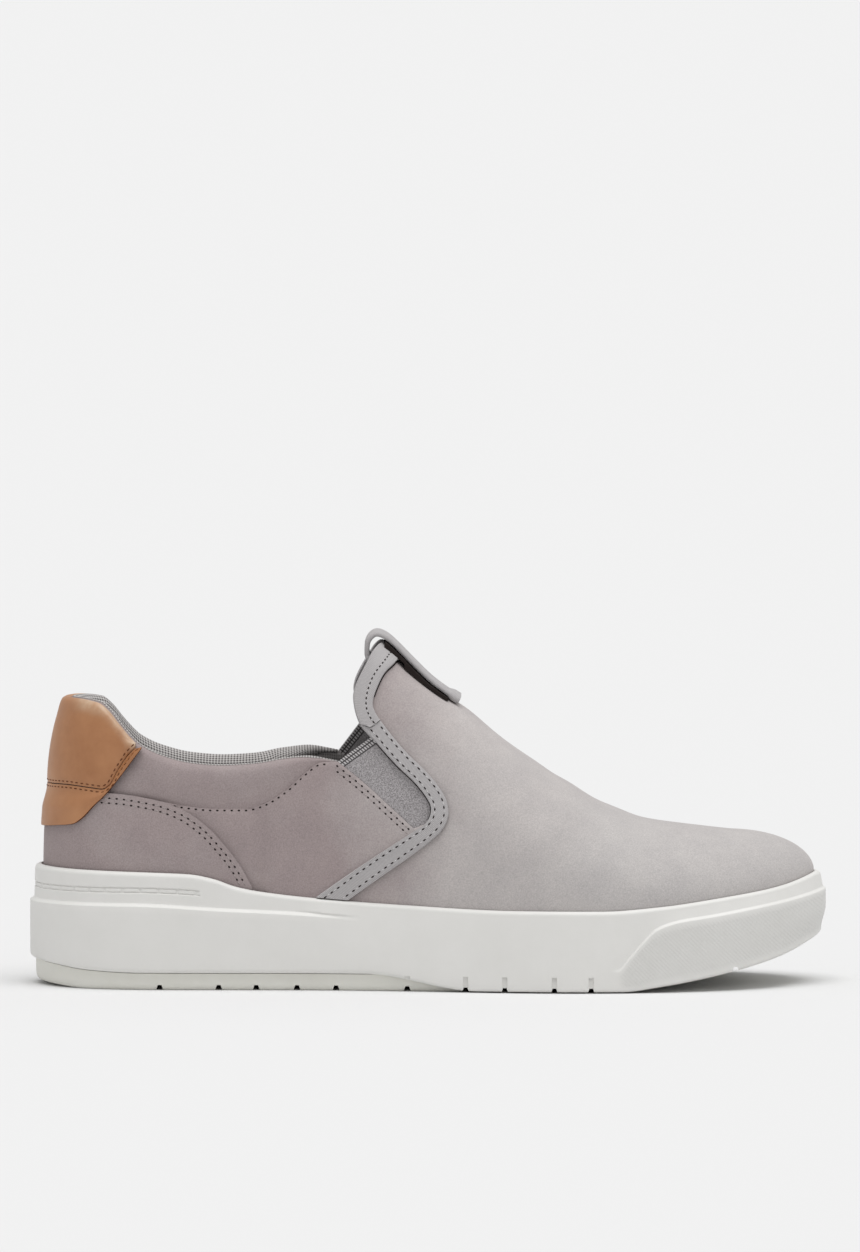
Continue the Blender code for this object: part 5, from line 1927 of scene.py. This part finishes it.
class Nodes:
    """A material and the short calls that build its nodes."""

    def __init__(self, name: str) -> None:
        """Start a material whose patterns lie in the piece's own coordinates.

        Args:
            name: the material's name.
        """
        self.material = bpy.data.materials.new(name)
        self.material.use_nodes = True
        self.tree = self.material.node_tree
        self.shader = self.tree.nodes["Principled BSDF"]
        self.place = self.add("ShaderNodeTexCoord").outputs["Object"]

    def add(self, kind: str, **settings: object) -> bpy.types.Node:
        """A node with its settings."""
        node = self.tree.nodes.new(kind)
        for name, value in settings.items():
            setattr(node, name, value)
        return node

    def feed(self, socket: Socket, value: object) -> None:
        """Link a socket to an input, or set the input to a number or a colour."""
        if isinstance(value, Socket):
            self.tree.links.new(value, socket)
        else:
            socket.default_value = value

    def noise(self, scale: float, detail: float = 3.0, roughness: float = 0.55) -> Socket:
        """A noise's factor.

        Args:
            scale: waves a metre.
            detail, roughness: the noise's other settings.

        Returns:
            The noise's factor.
        """
        node = self.add("ShaderNodeTexNoise")
        for name, value in (("Scale", scale), ("Detail", detail), ("Roughness", roughness),
                            ("Vector", self.place)):
            self.feed(node.inputs[name], value)
        return node.outputs["Fac"]

    def axes(self, source: Socket) -> Sequence[Socket]:
        """The coordinates of a place, one socket each."""
        node = self.add("ShaderNodeSeparateXYZ")
        self.feed(node.inputs[0], source)
        return node.outputs

    def uv(self) -> Sequence[Socket]:
        """The piece's own UV map: metres along it and up it."""
        return self.axes(self.add("ShaderNodeUVMap", uv_map="UVMap").outputs[0])

    def mask(self, name: str) -> Socket:
        """A value stored with the piece's vertices."""
        return self.add("ShaderNodeAttribute", attribute_name=name).outputs["Fac"]

    def maths(self, operation: str, a: object, b: object = 0.0) -> Socket:
        """A math node of two sockets or numbers."""
        node = self.add("ShaderNodeMath", operation=operation)
        self.feed(node.inputs[0], a)
        self.feed(node.inputs[1], b)
        return node.outputs[0]

    def wave(self, place: Socket, pitch: float) -> Socket:
        """A sine wave of one pitch."""
        return self.maths("SINE", self.maths("MULTIPLY", place, 2 * math.pi / pitch))

    def ramp(self, factor: Socket, stops: Sequence[tuple]) -> Socket:
        """A colour ramp.

        Args:
            factor: what it runs over.
            stops: a place and a colour for each stop.

        Returns:
            The colour.
        """
        node = self.add("ShaderNodeValToRGB")
        elements = node.color_ramp.elements
        while len(elements) < len(stops):
            elements.new(0.5)
        for element, (place, colour) in zip(elements, stops):
            element.position = place
            element.color = colour
        self.feed(node.inputs["Fac"], factor)
        return node.outputs["Color"]

    def shade(self, colour: object, cloud: Socket, low: float, high: float,
              dark: Sequence[float] | float, light: float = 1.0, share: float = 1.0) -> Socket:
        """A colour darkened in patches.

        Args:
            colour: the colour.
            cloud: factor of the patches.
            low, high: factors where they are darkest and lightest.
            dark, light: what they multiply the colour by there.
            share: how much of this shows.

        Returns:
            The shaded colour.
        """
        stops = [(low, (*np.broadcast_to(dark, 3), 1)), (high, (*np.broadcast_to(light, 3), 1))]
        return self.mix(share, colour, self.ramp(cloud, stops), "MULTIPLY")

    def stretch(self, factor: Socket, low: float, high: float, start: float = 0.0,
                end: float = 1.0) -> Socket:
        """A factor carried from one range onto another.

        Args:
            factor: what is stretched.
            low, high: its range.
            start, end: the range it gets.

        Returns:
            The stretched factor.
        """
        node = self.add("ShaderNodeMapRange")
        for name, value in (("From Min", low), ("From Max", high), ("To Min", start), ("To Max", end),
                            ("Value", factor)):
            self.feed(node.inputs[name], value)
        return node.outputs["Result"]

    def mix(self, factor: object, a: object, b: object, blend: str = "MIX") -> Socket:
        """A mix of two colours."""
        node = self.add("ShaderNodeMix", data_type="RGBA", blend_type=blend)
        for socket, value in ((node.inputs[0], factor), (node.inputs[6], a), (node.inputs[7], b)):
            self.feed(socket, value)
        return node.outputs[2]

    def bump(self, height: Socket, distance: float, strength: float = 1.0,
             under: Socket | None = None) -> Socket:
        """A bump.

        Args:
            height: its factor.
            distance: its height in metres.
            strength: how much of it shows.
            under: a bump that it lies on.

        Returns:
            The normal.
        """
        node = self.add("ShaderNodeBump")
        for name, value in (("Distance", distance), ("Strength", strength), ("Height", height)):
            self.feed(node.inputs[name], value)
        if under:
            self.feed(node.inputs["Normal"], under)
        return node.outputs["Normal"]

    def done(self, **values: object) -> Material:
        """The material, with values for the shader's inputs; an underscore stands for a space."""
        for name, value in values.items():
            self.feed(self.shader.inputs[name.replace("_", " ")], value)
        return self.material


@dataclass(frozen=True)
class Nubuck:
    """Sanded leather with a short nap, rosy at the heel and greyer towards the toe, where it is also
    lighter: partly its own tone, partly painted light from above on the up-facing vamp.
    """
    heel: Colour = (161, 148, 147)
    middle: Colour = (188, 182, 180)
    toe: Colour = (189, 185, 183)
    rear: float = -0.042              # x where the heel's colour ends
    front: float = 0.078              # and where the toe's begins

    def make(self, name: str) -> Material:
        """The material, of a given name.

        Args:
            name: name it gets.

        Returns:
            The material.
        """
        n = Nodes(name)
        along = n.stretch(n.axes(n.place)[0], self.rear, self.front)
        along = n.maths("ADD", along, n.stretch(n.noise(26, 4, 0.6), 0.3, 0.7, -0.10, 0.10))
        # Heel-to-toe ramp: the lighter front is partly painted light, standing for the light from above on
        # the vamp's up-facing front and toe
        stops = [(0.0, linear(self.heel)), (0.45, linear(self.middle)), (1.0, linear(self.toe))]
        colour = n.ramp(along, stops)
        colour = n.shade(colour, n.noise(70, 5, 0.65), 0.32, 0.68, (0.90, 0.90, 0.91))
        colour = n.shade(colour, n.noise(2000, 3, 0.7), 0.32, 0.68, 0.80, 1.12, 0.9)
        nap = n.bump(n.noise(1900, 3, 0.6), 0.12 * MM, 0.5)
        soft = n.bump(n.noise(120, 3, 0.5), 0.35 * MM, 0.35, nap)
        return n.done(Base_Color=colour, Roughness=0.92, Normal=soft, Sheen_Weight=0.12, Sheen_Roughness=0.5,
                      Specular_IOR_Level=0.2, Sheen_Tint=linear((235, 228, 226)))


@dataclass(frozen=True)
class CupRubber:
    """Matt moulded rubber, with rows of fine raised dots on the toe panel."""
    colour: Colour = (224, 223, 220)
    panel: float = 0.905              # how dark the panel is against the rest
    dot_pitch: float = 1.6 * MM
    dot_height: float = 0.10 * MM

    def make(self, name: str) -> Material:
        """The material, of a given name.

        Args:
            name: name it gets.

        Returns:
            The material.
        """
        n = Nodes(name)
        colour = n.shade(linear(self.colour), n.noise(60, 4, 0.6), 0.3, 0.7, (0.965, 0.965, 0.96))
        place, mask = n.axes(n.place), n.mask("toe_panel")
        dots = n.maths("MULTIPLY", n.wave(place[0], self.dot_pitch), n.wave(place[2], self.dot_pitch))
        panel = (self.panel, self.panel, self.panel, 1.0)
        colour = n.mix(mask, colour, n.mix(1.0, colour, panel, "MULTIPLY"))
        grain = n.bump(n.noise(1500, 2, 0.5), 0.05 * MM, 0.35)
        relief = n.bump(n.maths("MULTIPLY", dots, mask), self.dot_height, 0.5, grain)
        return n.done(Base_Color=colour, Roughness=0.52, Normal=relief, Specular_IOR_Level=0.4)


@dataclass(frozen=True)
class TreadRubber:
    """Tread rubber, a little duller than the cup."""
    colour: Colour = (227, 226, 219)

    def make(self, name: str) -> Material:
        """The material, of a given name."""
        n = Nodes(name)
        colour = n.shade(linear(self.colour), n.noise(90, 4, 0.6), 0.3, 0.7, (0.95, 0.95, 0.94))
        grain = n.bump(n.noise(1200, 2, 0.5), 0.08 * MM, 0.4)
        return n.done(Base_Color=colour, Roughness=0.62, Normal=grain)


@dataclass(frozen=True)
class Plain:
    """One dull colour: thread; painted shade in needle holes; raw leather edges with painted shadow; the
    loop's dark under strip, partly painted shade; painted shadow lines.
    """
    colour: Colour

    def make(self, name: str) -> Material:
        """The material, of a given name."""
        n = Nodes(name)
        colour = n.shade(linear(self.colour), n.noise(900, 3, 0.6), 0.3, 0.7, 0.80, 1.08)
        return n.done(Base_Color=colour, Roughness=0.8, Specular_IOR_Level=0.2)


@dataclass(frozen=True)
class Elastic:
    """Speckled elastic with a ribbed selvedge along its top edge, in its own UV map."""
    colour: Colour = (182, 178, 179)
    dark: Colour = (120, 116, 117)
    rib_light: Colour = (196, 193, 193)
    rib_dark: Colour = (92, 89, 90)
    groove: Colour = (70, 67, 68)
    border: Colour = (78, 75, 76)
    selvedge: float = 2.7 * MM
    rib: float = 0.9 * MM
    line: float = 0.35 * MM

    def make(self, name: str) -> Material:
        """The material, of a given name.

        Args:
            name: name it gets.

        Returns:
            The material.
        """
        n = Nodes(name)
        along, down, _ = n.uv()

        def clear_of(middle: float) -> Socket:
            """0 on a line at one height, 1 away from it."""
            away = n.maths("ABSOLUTE", n.maths("SUBTRACT", down, middle))
            return n.stretch(away, 0.5 * self.line, self.line)

        speckle = n.ramp(n.noise(2300, 3, 0.75), [(0.38, linear(self.dark)), (0.62, linear(self.colour))])
        ribs = n.stretch(n.wave(along, self.rib), -0.5, 0.5)
        ribs = n.mix(ribs, linear(self.rib_dark), linear(self.rib_light))
        ribs = n.mix(clear_of(0.5 * self.selvedge), linear(self.groove), ribs)
        within = n.stretch(down, self.selvedge, self.selvedge + 0.15 * MM, 1.0, 0.0)
        colour = n.mix(within, speckle, ribs)
        colour = n.mix(clear_of(self.selvedge + self.line), linear(self.border), colour)
        weave = n.bump(n.noise(1500, 3, 0.75), 0.1 * MM, 0.5)
        return n.done(Base_Color=colour, Roughness=0.9, Normal=weave, Specular_IOR_Level=0.2)


@dataclass(frozen=True)
class TanLeather:
    """Smooth tan leather with a fine grain, and a painted highlight where it is marked."""
    colour: Colour = (177, 125, 84)
    low: Colour = (157, 105, 66)
    # pale tone of the painted highlight on the tab's top near the rim
    painted_highlight: Colour = (206, 184, 158)

    def make(self, name: str) -> Material:
        """The material, of a given name.

        Args:
            name: name it gets.

        Returns:
            The material.
        """
        n = Nodes(name)
        colour = n.ramp(n.noise(55, 4, 0.6), [(0.3, linear(self.low)), (0.7, linear(self.colour))])
        cells = n.add("ShaderNodeTexVoronoi", feature="DISTANCE_TO_EDGE")
        n.feed(cells.inputs["Scale"], 1500)
        n.feed(cells.inputs["Vector"], n.place)
        grain = n.bump(n.stretch(cells.outputs["Distance"], 0.0, 0.25), 0.04 * MM, 0.35)
        soft = n.bump(n.noise(160, 3, 0.5), 0.2 * MM, 0.25, grain)
        # Painted highlight: a pale tone mixed in, in patches, near the rim, where light from above falls on
        # the tab's top
        patchy = n.stretch(n.noise(140, 3, 0.6), 0.35, 0.6, 0.35, 0.85)
        patchy = n.maths("MULTIPLY", n.mask("painted_rim_highlight"), patchy)
        colour = n.mix(patchy, colour, linear(self.painted_highlight))
        return n.done(Base_Color=colour, Roughness=0.46, Normal=soft, Coat_Weight=0.08, Coat_Roughness=0.35)


@dataclass(frozen=True)
class Cloth:
    """Woven or knitted cloth in a pattern of its own UV map."""
    colour: Colour
    dark: Colour
    across: float                     # width of a thread or cell, along the piece
    up: float                         # and up it
    height: float                     # relief
    holes: bool = False               # knitted mesh with open cells, or a plain weave

    def make(self, name: str) -> Material:
        """The material, of a given name.

        Args:
            name: name it gets.

        Returns:
            The material.
        """
        n = Nodes(name)
        along, up, _ = n.uv()
        a = n.maths("MULTIPLY", along, 2 * math.pi / self.across)
        b = n.maths("MULTIPLY", up, 2 * math.pi / self.up)
        if self.holes:
            a, b = n.maths("MULTIPLY", a, 0.5), n.maths("MULTIPLY", b, 0.5)
            a, b = n.maths("ADD", a, b), n.maths("SUBTRACT", a, b)
        pattern = n.maths("MULTIPLY", n.maths("SINE", a), n.maths("SINE", b))
        share, fuzz = n.stretch(pattern, -0.8, 0.5), n.noise(2200, 3, 0.6)
        colour = n.mix(share, linear(self.dark), linear(self.colour))
        colour = n.shade(colour, fuzz, 0.3, 0.7, 0.8, share=0.5)
        relief = n.bump(fuzz, 0.1 * MM, 0.4, n.bump(share, self.height, 0.8))
        return n.done(Base_Color=colour, Roughness=0.9, Normal=relief, Specular_IOR_Level=0.25,
                      Sheen_Weight=0.15)


@dataclass
class Studio:
    """Pale floor, soft light from above and the camera at the photograph's angle."""
    elevation: float = 4.0            # degrees
    distance: float = 9.0
    picture_width: float = 324 * MM
    aim: float = 134.5 * MM           # height that the picture is centred on
    aside: float = 0.75 * MM
    floor_reach: float = 14.0
    floor_tone: Colour = (222, 222, 222)
    sun: float = 2.0
    sun_size: float = 50.0            # degrees
    sun_to_toe: float = 6.0
    sun_to_front: float = 10.0
    horizon: float = 0.62
    zenith: float = 0.58
    fade_from: float = 0.12           # heights between which the room goes from one to the other
    fade_to: float = 0.62
    clip_end: float = 60.0

    def build(self) -> None:
        """Make all of it."""
        self.floor()
        self.room()
        self.overhead()
        self.camera()

    def floor(self) -> None:
        """A level floor that runs past the edges of the picture."""
        places = np.linspace(-self.floor_reach, self.floor_reach, 9)
        points = np.array([[(x, y, 0.0) for x in places] for y in places])
        floor = grid_piece("studio_floor", points)
        paper = Nodes("floor_paper")
        floor.data.materials.append(paper.done(Base_Color=linear(self.floor_tone), Roughness=1.0,
                                               Specular_IOR_Level=0.0))

    def room(self) -> None:
        """Bright walls at eye level and a dim ceiling."""
        world = bpy.data.worlds.new("studio")
        bpy.context.scene.world = world
        world.use_nodes = True
        nodes, links = world.node_tree.nodes, world.node_tree.links
        place = nodes.new("ShaderNodeTexCoord")
        split = nodes.new("ShaderNodeSeparateXYZ")
        fade = nodes.new("ShaderNodeMapRange")
        fade.interpolation_type = "SMOOTHSTEP"
        for name, value in (("From Min", self.fade_from), ("From Max", self.fade_to),
                            ("To Min", self.horizon), ("To Max", self.zenith)):
            fade.inputs[name].default_value = value
        links.new(place.outputs["Generated"], split.inputs[0])
        links.new(split.outputs["Z"], fade.inputs["Value"])
        links.new(fade.outputs["Result"], nodes["Background"].inputs["Strength"])
        nodes["Background"].inputs["Color"].default_value = (1, 1, 1, 1)

    def overhead(self) -> None:
        """A large soft light overhead, a little towards the toe and the camera."""
        light = bpy.data.lights.new("overhead", "SUN")
        light.energy = self.sun
        light.angle = math.radians(self.sun_size)
        obj = bpy.data.objects.new("overhead", light)
        bpy.context.collection.objects.link(obj)
        away = Vector((math.tan(math.radians(self.sun_to_toe)),
                       -math.tan(math.radians(self.sun_to_front)), 1.0))
        obj.rotation_euler = away.to_track_quat("Z", "Y").to_euler()

    def camera(self) -> None:
        """A long lens level with the shoe, a little above it."""
        camera = bpy.data.cameras.new("camera")
        camera.sensor_fit = "HORIZONTAL"
        camera.sensor_width = 36.0
        camera.lens = camera.sensor_width * self.distance / self.picture_width
        camera.clip_end = self.clip_end
        obj = bpy.data.objects.new("camera", camera)
        bpy.context.collection.objects.link(obj)
        tilt = math.radians(self.elevation)
        obj.location = (self.aside, -self.distance * math.cos(tilt),
                        self.aim + self.distance * math.sin(tilt))
        obj.rotation_euler = (math.pi / 2 - tilt, 0.0, 0.0)
        bpy.context.scene.camera = obj
        bpy.context.scene.view_settings.view_transform = "Standard"


@dataclass
class Stitching:
    """Every row of threads and needle holes, the holes as dark beads of painted shade."""
    last: Last
    thread: Size = (1.7 * MM, 0.42 * MM, 0.34 * MM)
    # the holes are dark beads of painted shade
    hole: Size = (1.15 * MM, 0.80 * MM, 0.22 * MM)
    tape_hole: Size = (1.55 * MM, 0.66 * MM, 0.20 * MM)
    tan_thread: Size = (1.65 * MM, 0.58 * MM, 0.30 * MM)
    tape_length: float = 0.8          # length of the tape's threads against the others'
    panel_rows: tuple[float, float] = (1.9 * MM, 3.7 * MM)
    panel_pitch: float = 2.8 * MM
    seam_end: float = 0.374           # share of LENGTH where the collar's row stops
    seam_away: float = 0.75 * MM
    seam_pitch: float = 2.7 * MM
    edge_rows: tuple[float, float] = (1.4 * MM, 3.0 * MM)
    edge_pitch: float = 3.0 * MM
    tape_shares: tuple[float, float] = (0.22, 0.78)
    tape_pitch: float = 3.0 * MM
    flap_share: float = 0.60
    flap_pitch: float = 1.95 * MM
    tan_away: float = 0.95 * MM
    tan_pitch: float = 2.3 * MM

    def pair(self, name: str, long: float = 1.0) -> tuple[Sewing, Sewing]:
        """Threads, of a length against the usual one, and the dark beads of painted shade in the holes
        between them.
        """
        thread = np.array(self.thread) * (long, 1, 1)
        hole = self.hole if long == 1 else self.tape_hole
        return Sewing(self.last, f"{name}_thread", thread), Sewing(self.last, f"{name}_holes", hole)


    def lay(self, pair: tuple[Sewing, Sewing], piece: Piece, path: Array, pitch: float,
            phase: float = 0.0) -> None:
        """One row of threads with the holes half way between them."""
        pair[0].row(piece, path, pitch, phase + 0.5)
        pair[1].row(piece, path, pitch, phase)

    def heel_panel(self, panel: Piece) -> tuple[Sewing, Sewing]:
        """Sew two rows inside the heel panel's top edge.

        Args:
            panel: the finished panel.

        Returns:
            Threads and holes.
        """
        pair = self.pair("panel_stitch")
        for k, away in enumerate(self.panel_rows):
            path = self.last.along_line(self.last.panel_top, PANEL_END - 0.004, -away)
            self.lay(pair, panel, path, self.panel_pitch, 0.5 * k)
        return pair

    def shell(self, shell: Piece) -> tuple[Sewing, Sewing]:
        """Sew along the collar seam and along the quarters' front edges.

        Args:
            shell: the finished shell.

        Returns:
            Threads and holes.
        """
        pair = self.pair("upper_stitch")
        seam = self.last.along_line(self.last.collar_seam, self.seam_end, -self.seam_away)
        pair[1].row(shell, seam, self.seam_pitch)
        for side in Side:
            for k, away in enumerate(self.edge_rows):
                path = self.last.along_edge(NOTCH_REAR, side, away)
                self.lay(pair, shell, path, self.edge_pitch, 0.5 * k + 0.3)
        return pair

    def tape(self, binding: Binding, pieces: Sequence[Piece]) -> tuple[Sewing, Sewing]:
        """Sew two rows down the lower strips and one round the flap.

        Args:
            binding: the binding's shape.
            pieces: its finished strips.

        Returns:
            Threads and holes.
        """
        pair = self.pair("tape_stitch", self.tape_length)
        for side, piece in zip(Side, pieces[1:]):
            for k, share in enumerate(self.tape_shares):
                path = binding.line(side, share, float(binding.joint(share)) + 0.8, binding.foot)
                self.lay(pair, piece, path, self.tape_pitch, 0.5 * k)
            path = binding.line(side, self.flap_share, 1.0, float(binding.joint(self.flap_share)) - 0.5)
            self.lay(pair, pieces[0], path, self.flap_pitch)
        return pair

    def tan(self, patch: Piece, tab: Piece) -> Sewing:
        """Sew the tab and the patch along the border between them.

        Args:
            patch, tab: the finished pieces.

        Returns:
            The threads.
        """
        made = Sewing(self.last, "tan_stitch", self.tan_thread)
        foot = self.last.tab_foot
        made.row(tab, self.last.along_line(foot, TAB_END, self.tan_away), self.tan_pitch)
        made.row(patch, self.last.along_line(foot, TAB_END + 0.003, -self.tan_away - 0.35 * MM),
                 self.tan_pitch, 0.5)
        return made


def finish_inside(obj: Piece, material: Material) -> None:
    """Line a shell.

    Args:
        obj: the shell.
        material: finish of its faces that look into the shoe.
    """
    obj.data.materials.append(material)
    axis = WALL_HEIGHT + 0.15 * UPPER_RISE
    for face in obj.data.polygons:
        centre = face.center
        spine = Vector((min(max(centre.x, -0.36 * LENGTH), 0.34 * LENGTH), 0.0, min(centre.z, axis)))
        if face.normal.dot(centre - spine) < -1e-5:
            face.material_index = 1


def finish_edge(obj: Piece, material: Material) -> None:
    """Finish a heel piece's raw edge, dark with its own colour and with painted shadow under it.

    Args:
        obj: the piece.
        material: finish of its lower and front edge, partly painted shadow.
    """
    obj.data.materials.append(material)
    for face in obj.data.polygons:
        if face.normal.z < -0.3 or face.normal.x > 0.3:
            face.material_index = 1


def finishes() -> dict[str, Material]:
    """Every material, by its name.

    Returns:
        The materials.
    """
    made = {
        "nubuck": Nubuck(),
        "cup_rubber": CupRubber(),
        "tread_rubber": TreadRubber(),
        "tan_leather": TanLeather(),
        "gore_elastic": Elastic(),
        "mesh_lining": Cloth((204, 200, 198), (78, 74, 73), 1.15 * MM, 1.15 * MM, 0.2 * MM, True),
        "lining": Cloth((150, 146, 145), (112, 108, 107), 0.9 * MM, 0.9 * MM, 0.1 * MM, True),
        "webbing": Cloth((194, 191, 191), (154, 150, 151), 0.9 * MM, 0.6 * MM, 0.1 * MM),
        "footbed": Cloth((150, 146, 144), (120, 116, 114), 1.2 * MM, 1.2 * MM, 0.1 * MM),
        "thread": Plain((168, 159, 157)),
        "tape_thread": Plain((200, 198, 198)),
        # painted shade in the needle holes
        "needle_hole_shade": Plain((46, 39, 38)),
        # dark lower ply of the pull loop with painted shade under the strap, and the painted shadow lines
        # along the binding
        "dark_web_and_shade": Plain((38, 31, 29)),
        # tan stitches; also the patch's raw edge, partly painted shadow under it
        "brown_thread_and_edge_shade": Plain((104, 62, 36)),
    }
    return {name: finish.make(name) for name, finish in made.items()}


def main() -> None:
    """Build every piece in order."""
    logging.basicConfig(level=logging.INFO, format="%(message)s")
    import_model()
    last = Last()
    use = finishes()
    nubuck, tan, webbing, dark = use["nubuck"], use["tan_leather"], use["webbing"], use["dark_web_and_shade"]

    cup = CupSole(last)
    dress(cup.build(), use["cup_rubber"], "cup_rubber", "midsole")
    dress(Tread(cup).build(), use["tread_rubber"], "tread_rubber", "outsole")
    dress(Footbed(cup).build(), use["footbed"], "footbed", "insole")

    shell = UpperShell(last)
    vamp = dress(shell.build(), nubuck, "nubuck", "upper")
    finish_inside(vamp, use["lining"])
    pad, lining = Collar(last, shell).build()
    dress(pad, nubuck, "nubuck", "upper")
    dress(lining, use["mesh_lining"], "nubuck", "upper")

    panel, patch, tab = HeelPieces(last).build()
    dress(panel, nubuck, "nubuck_overlay", "heel_panel")
    dress(patch, tan, "tan_leather", "heel_patch")
    # the patch's lower and front edge: raw edge colour with painted shadow
    finish_edge(patch, use["brown_thread_and_edge_shade"])
    dress(tab, tan, "tan_leather", "heel_tab")

    for side, node in ((Side.OUTER, "gore_lateral"), (Side.INNER, "gore_medial")):
        dress(Gore(last, side).build(), use["gore_elastic"], "gore", node)

    binding = Binding(last)
    tapes = [dress(strip, webbing, "webbing", "edge_binding") for strip in binding.build()]
    # Painted shadow lines: a thin dark line along the tape's front edge on the nubuck, and one along its
    # rear edge against the gore
    fold = [binding.line(side, 1.04, 2.0, binding.row(2.0)) for side in Side]
    dress(binding.seam("binding_edge_shadow_line", fold, 0.22 * MM, 0.38 * MM), dark, "webbing", "edge_binding")
    start, stop = binding.row(GORE_TOP_ROW), binding.row(NOTCH_TURN) - 2
    edge = [binding.line(side, -0.075, start, stop) for side in Side]
    dress(binding.seam("gore_edge_shadow_line", edge, -0.2 * MM, 0.45 * MM), dark, "webbing", "edge_binding")

    strap, strip = PullLoop(last).build()
    dress(strap, webbing, "webbing", "pull_loop")
    # the strip's dark colour is partly painted shade under the strap
    dress(strip, dark, "webbing", "pull_loop")

    sewing = Stitching(last)
    rows = [(sewing.heel_panel(panel), "nubuck_overlay", "heel_panel", "thread"),
            (sewing.shell(vamp), "nubuck", "upper", "thread"),
            (sewing.tape(binding, tapes), "webbing", "edge_binding", "tape_thread")]
    # each row's holes are dark beads of painted shade
    for (threads, needle), slot, node, colour in rows:
        dress(threads.build(), use[colour], slot, node)
        dress(needle.build(), use["needle_hole_shade"], slot, node)
    dress(sewing.tan(patch, tab).build(), use["brown_thread_and_edge_shade"], "tan_leather", "heel_patch")

    Studio().build()


if __name__ == "__main__":
    main()
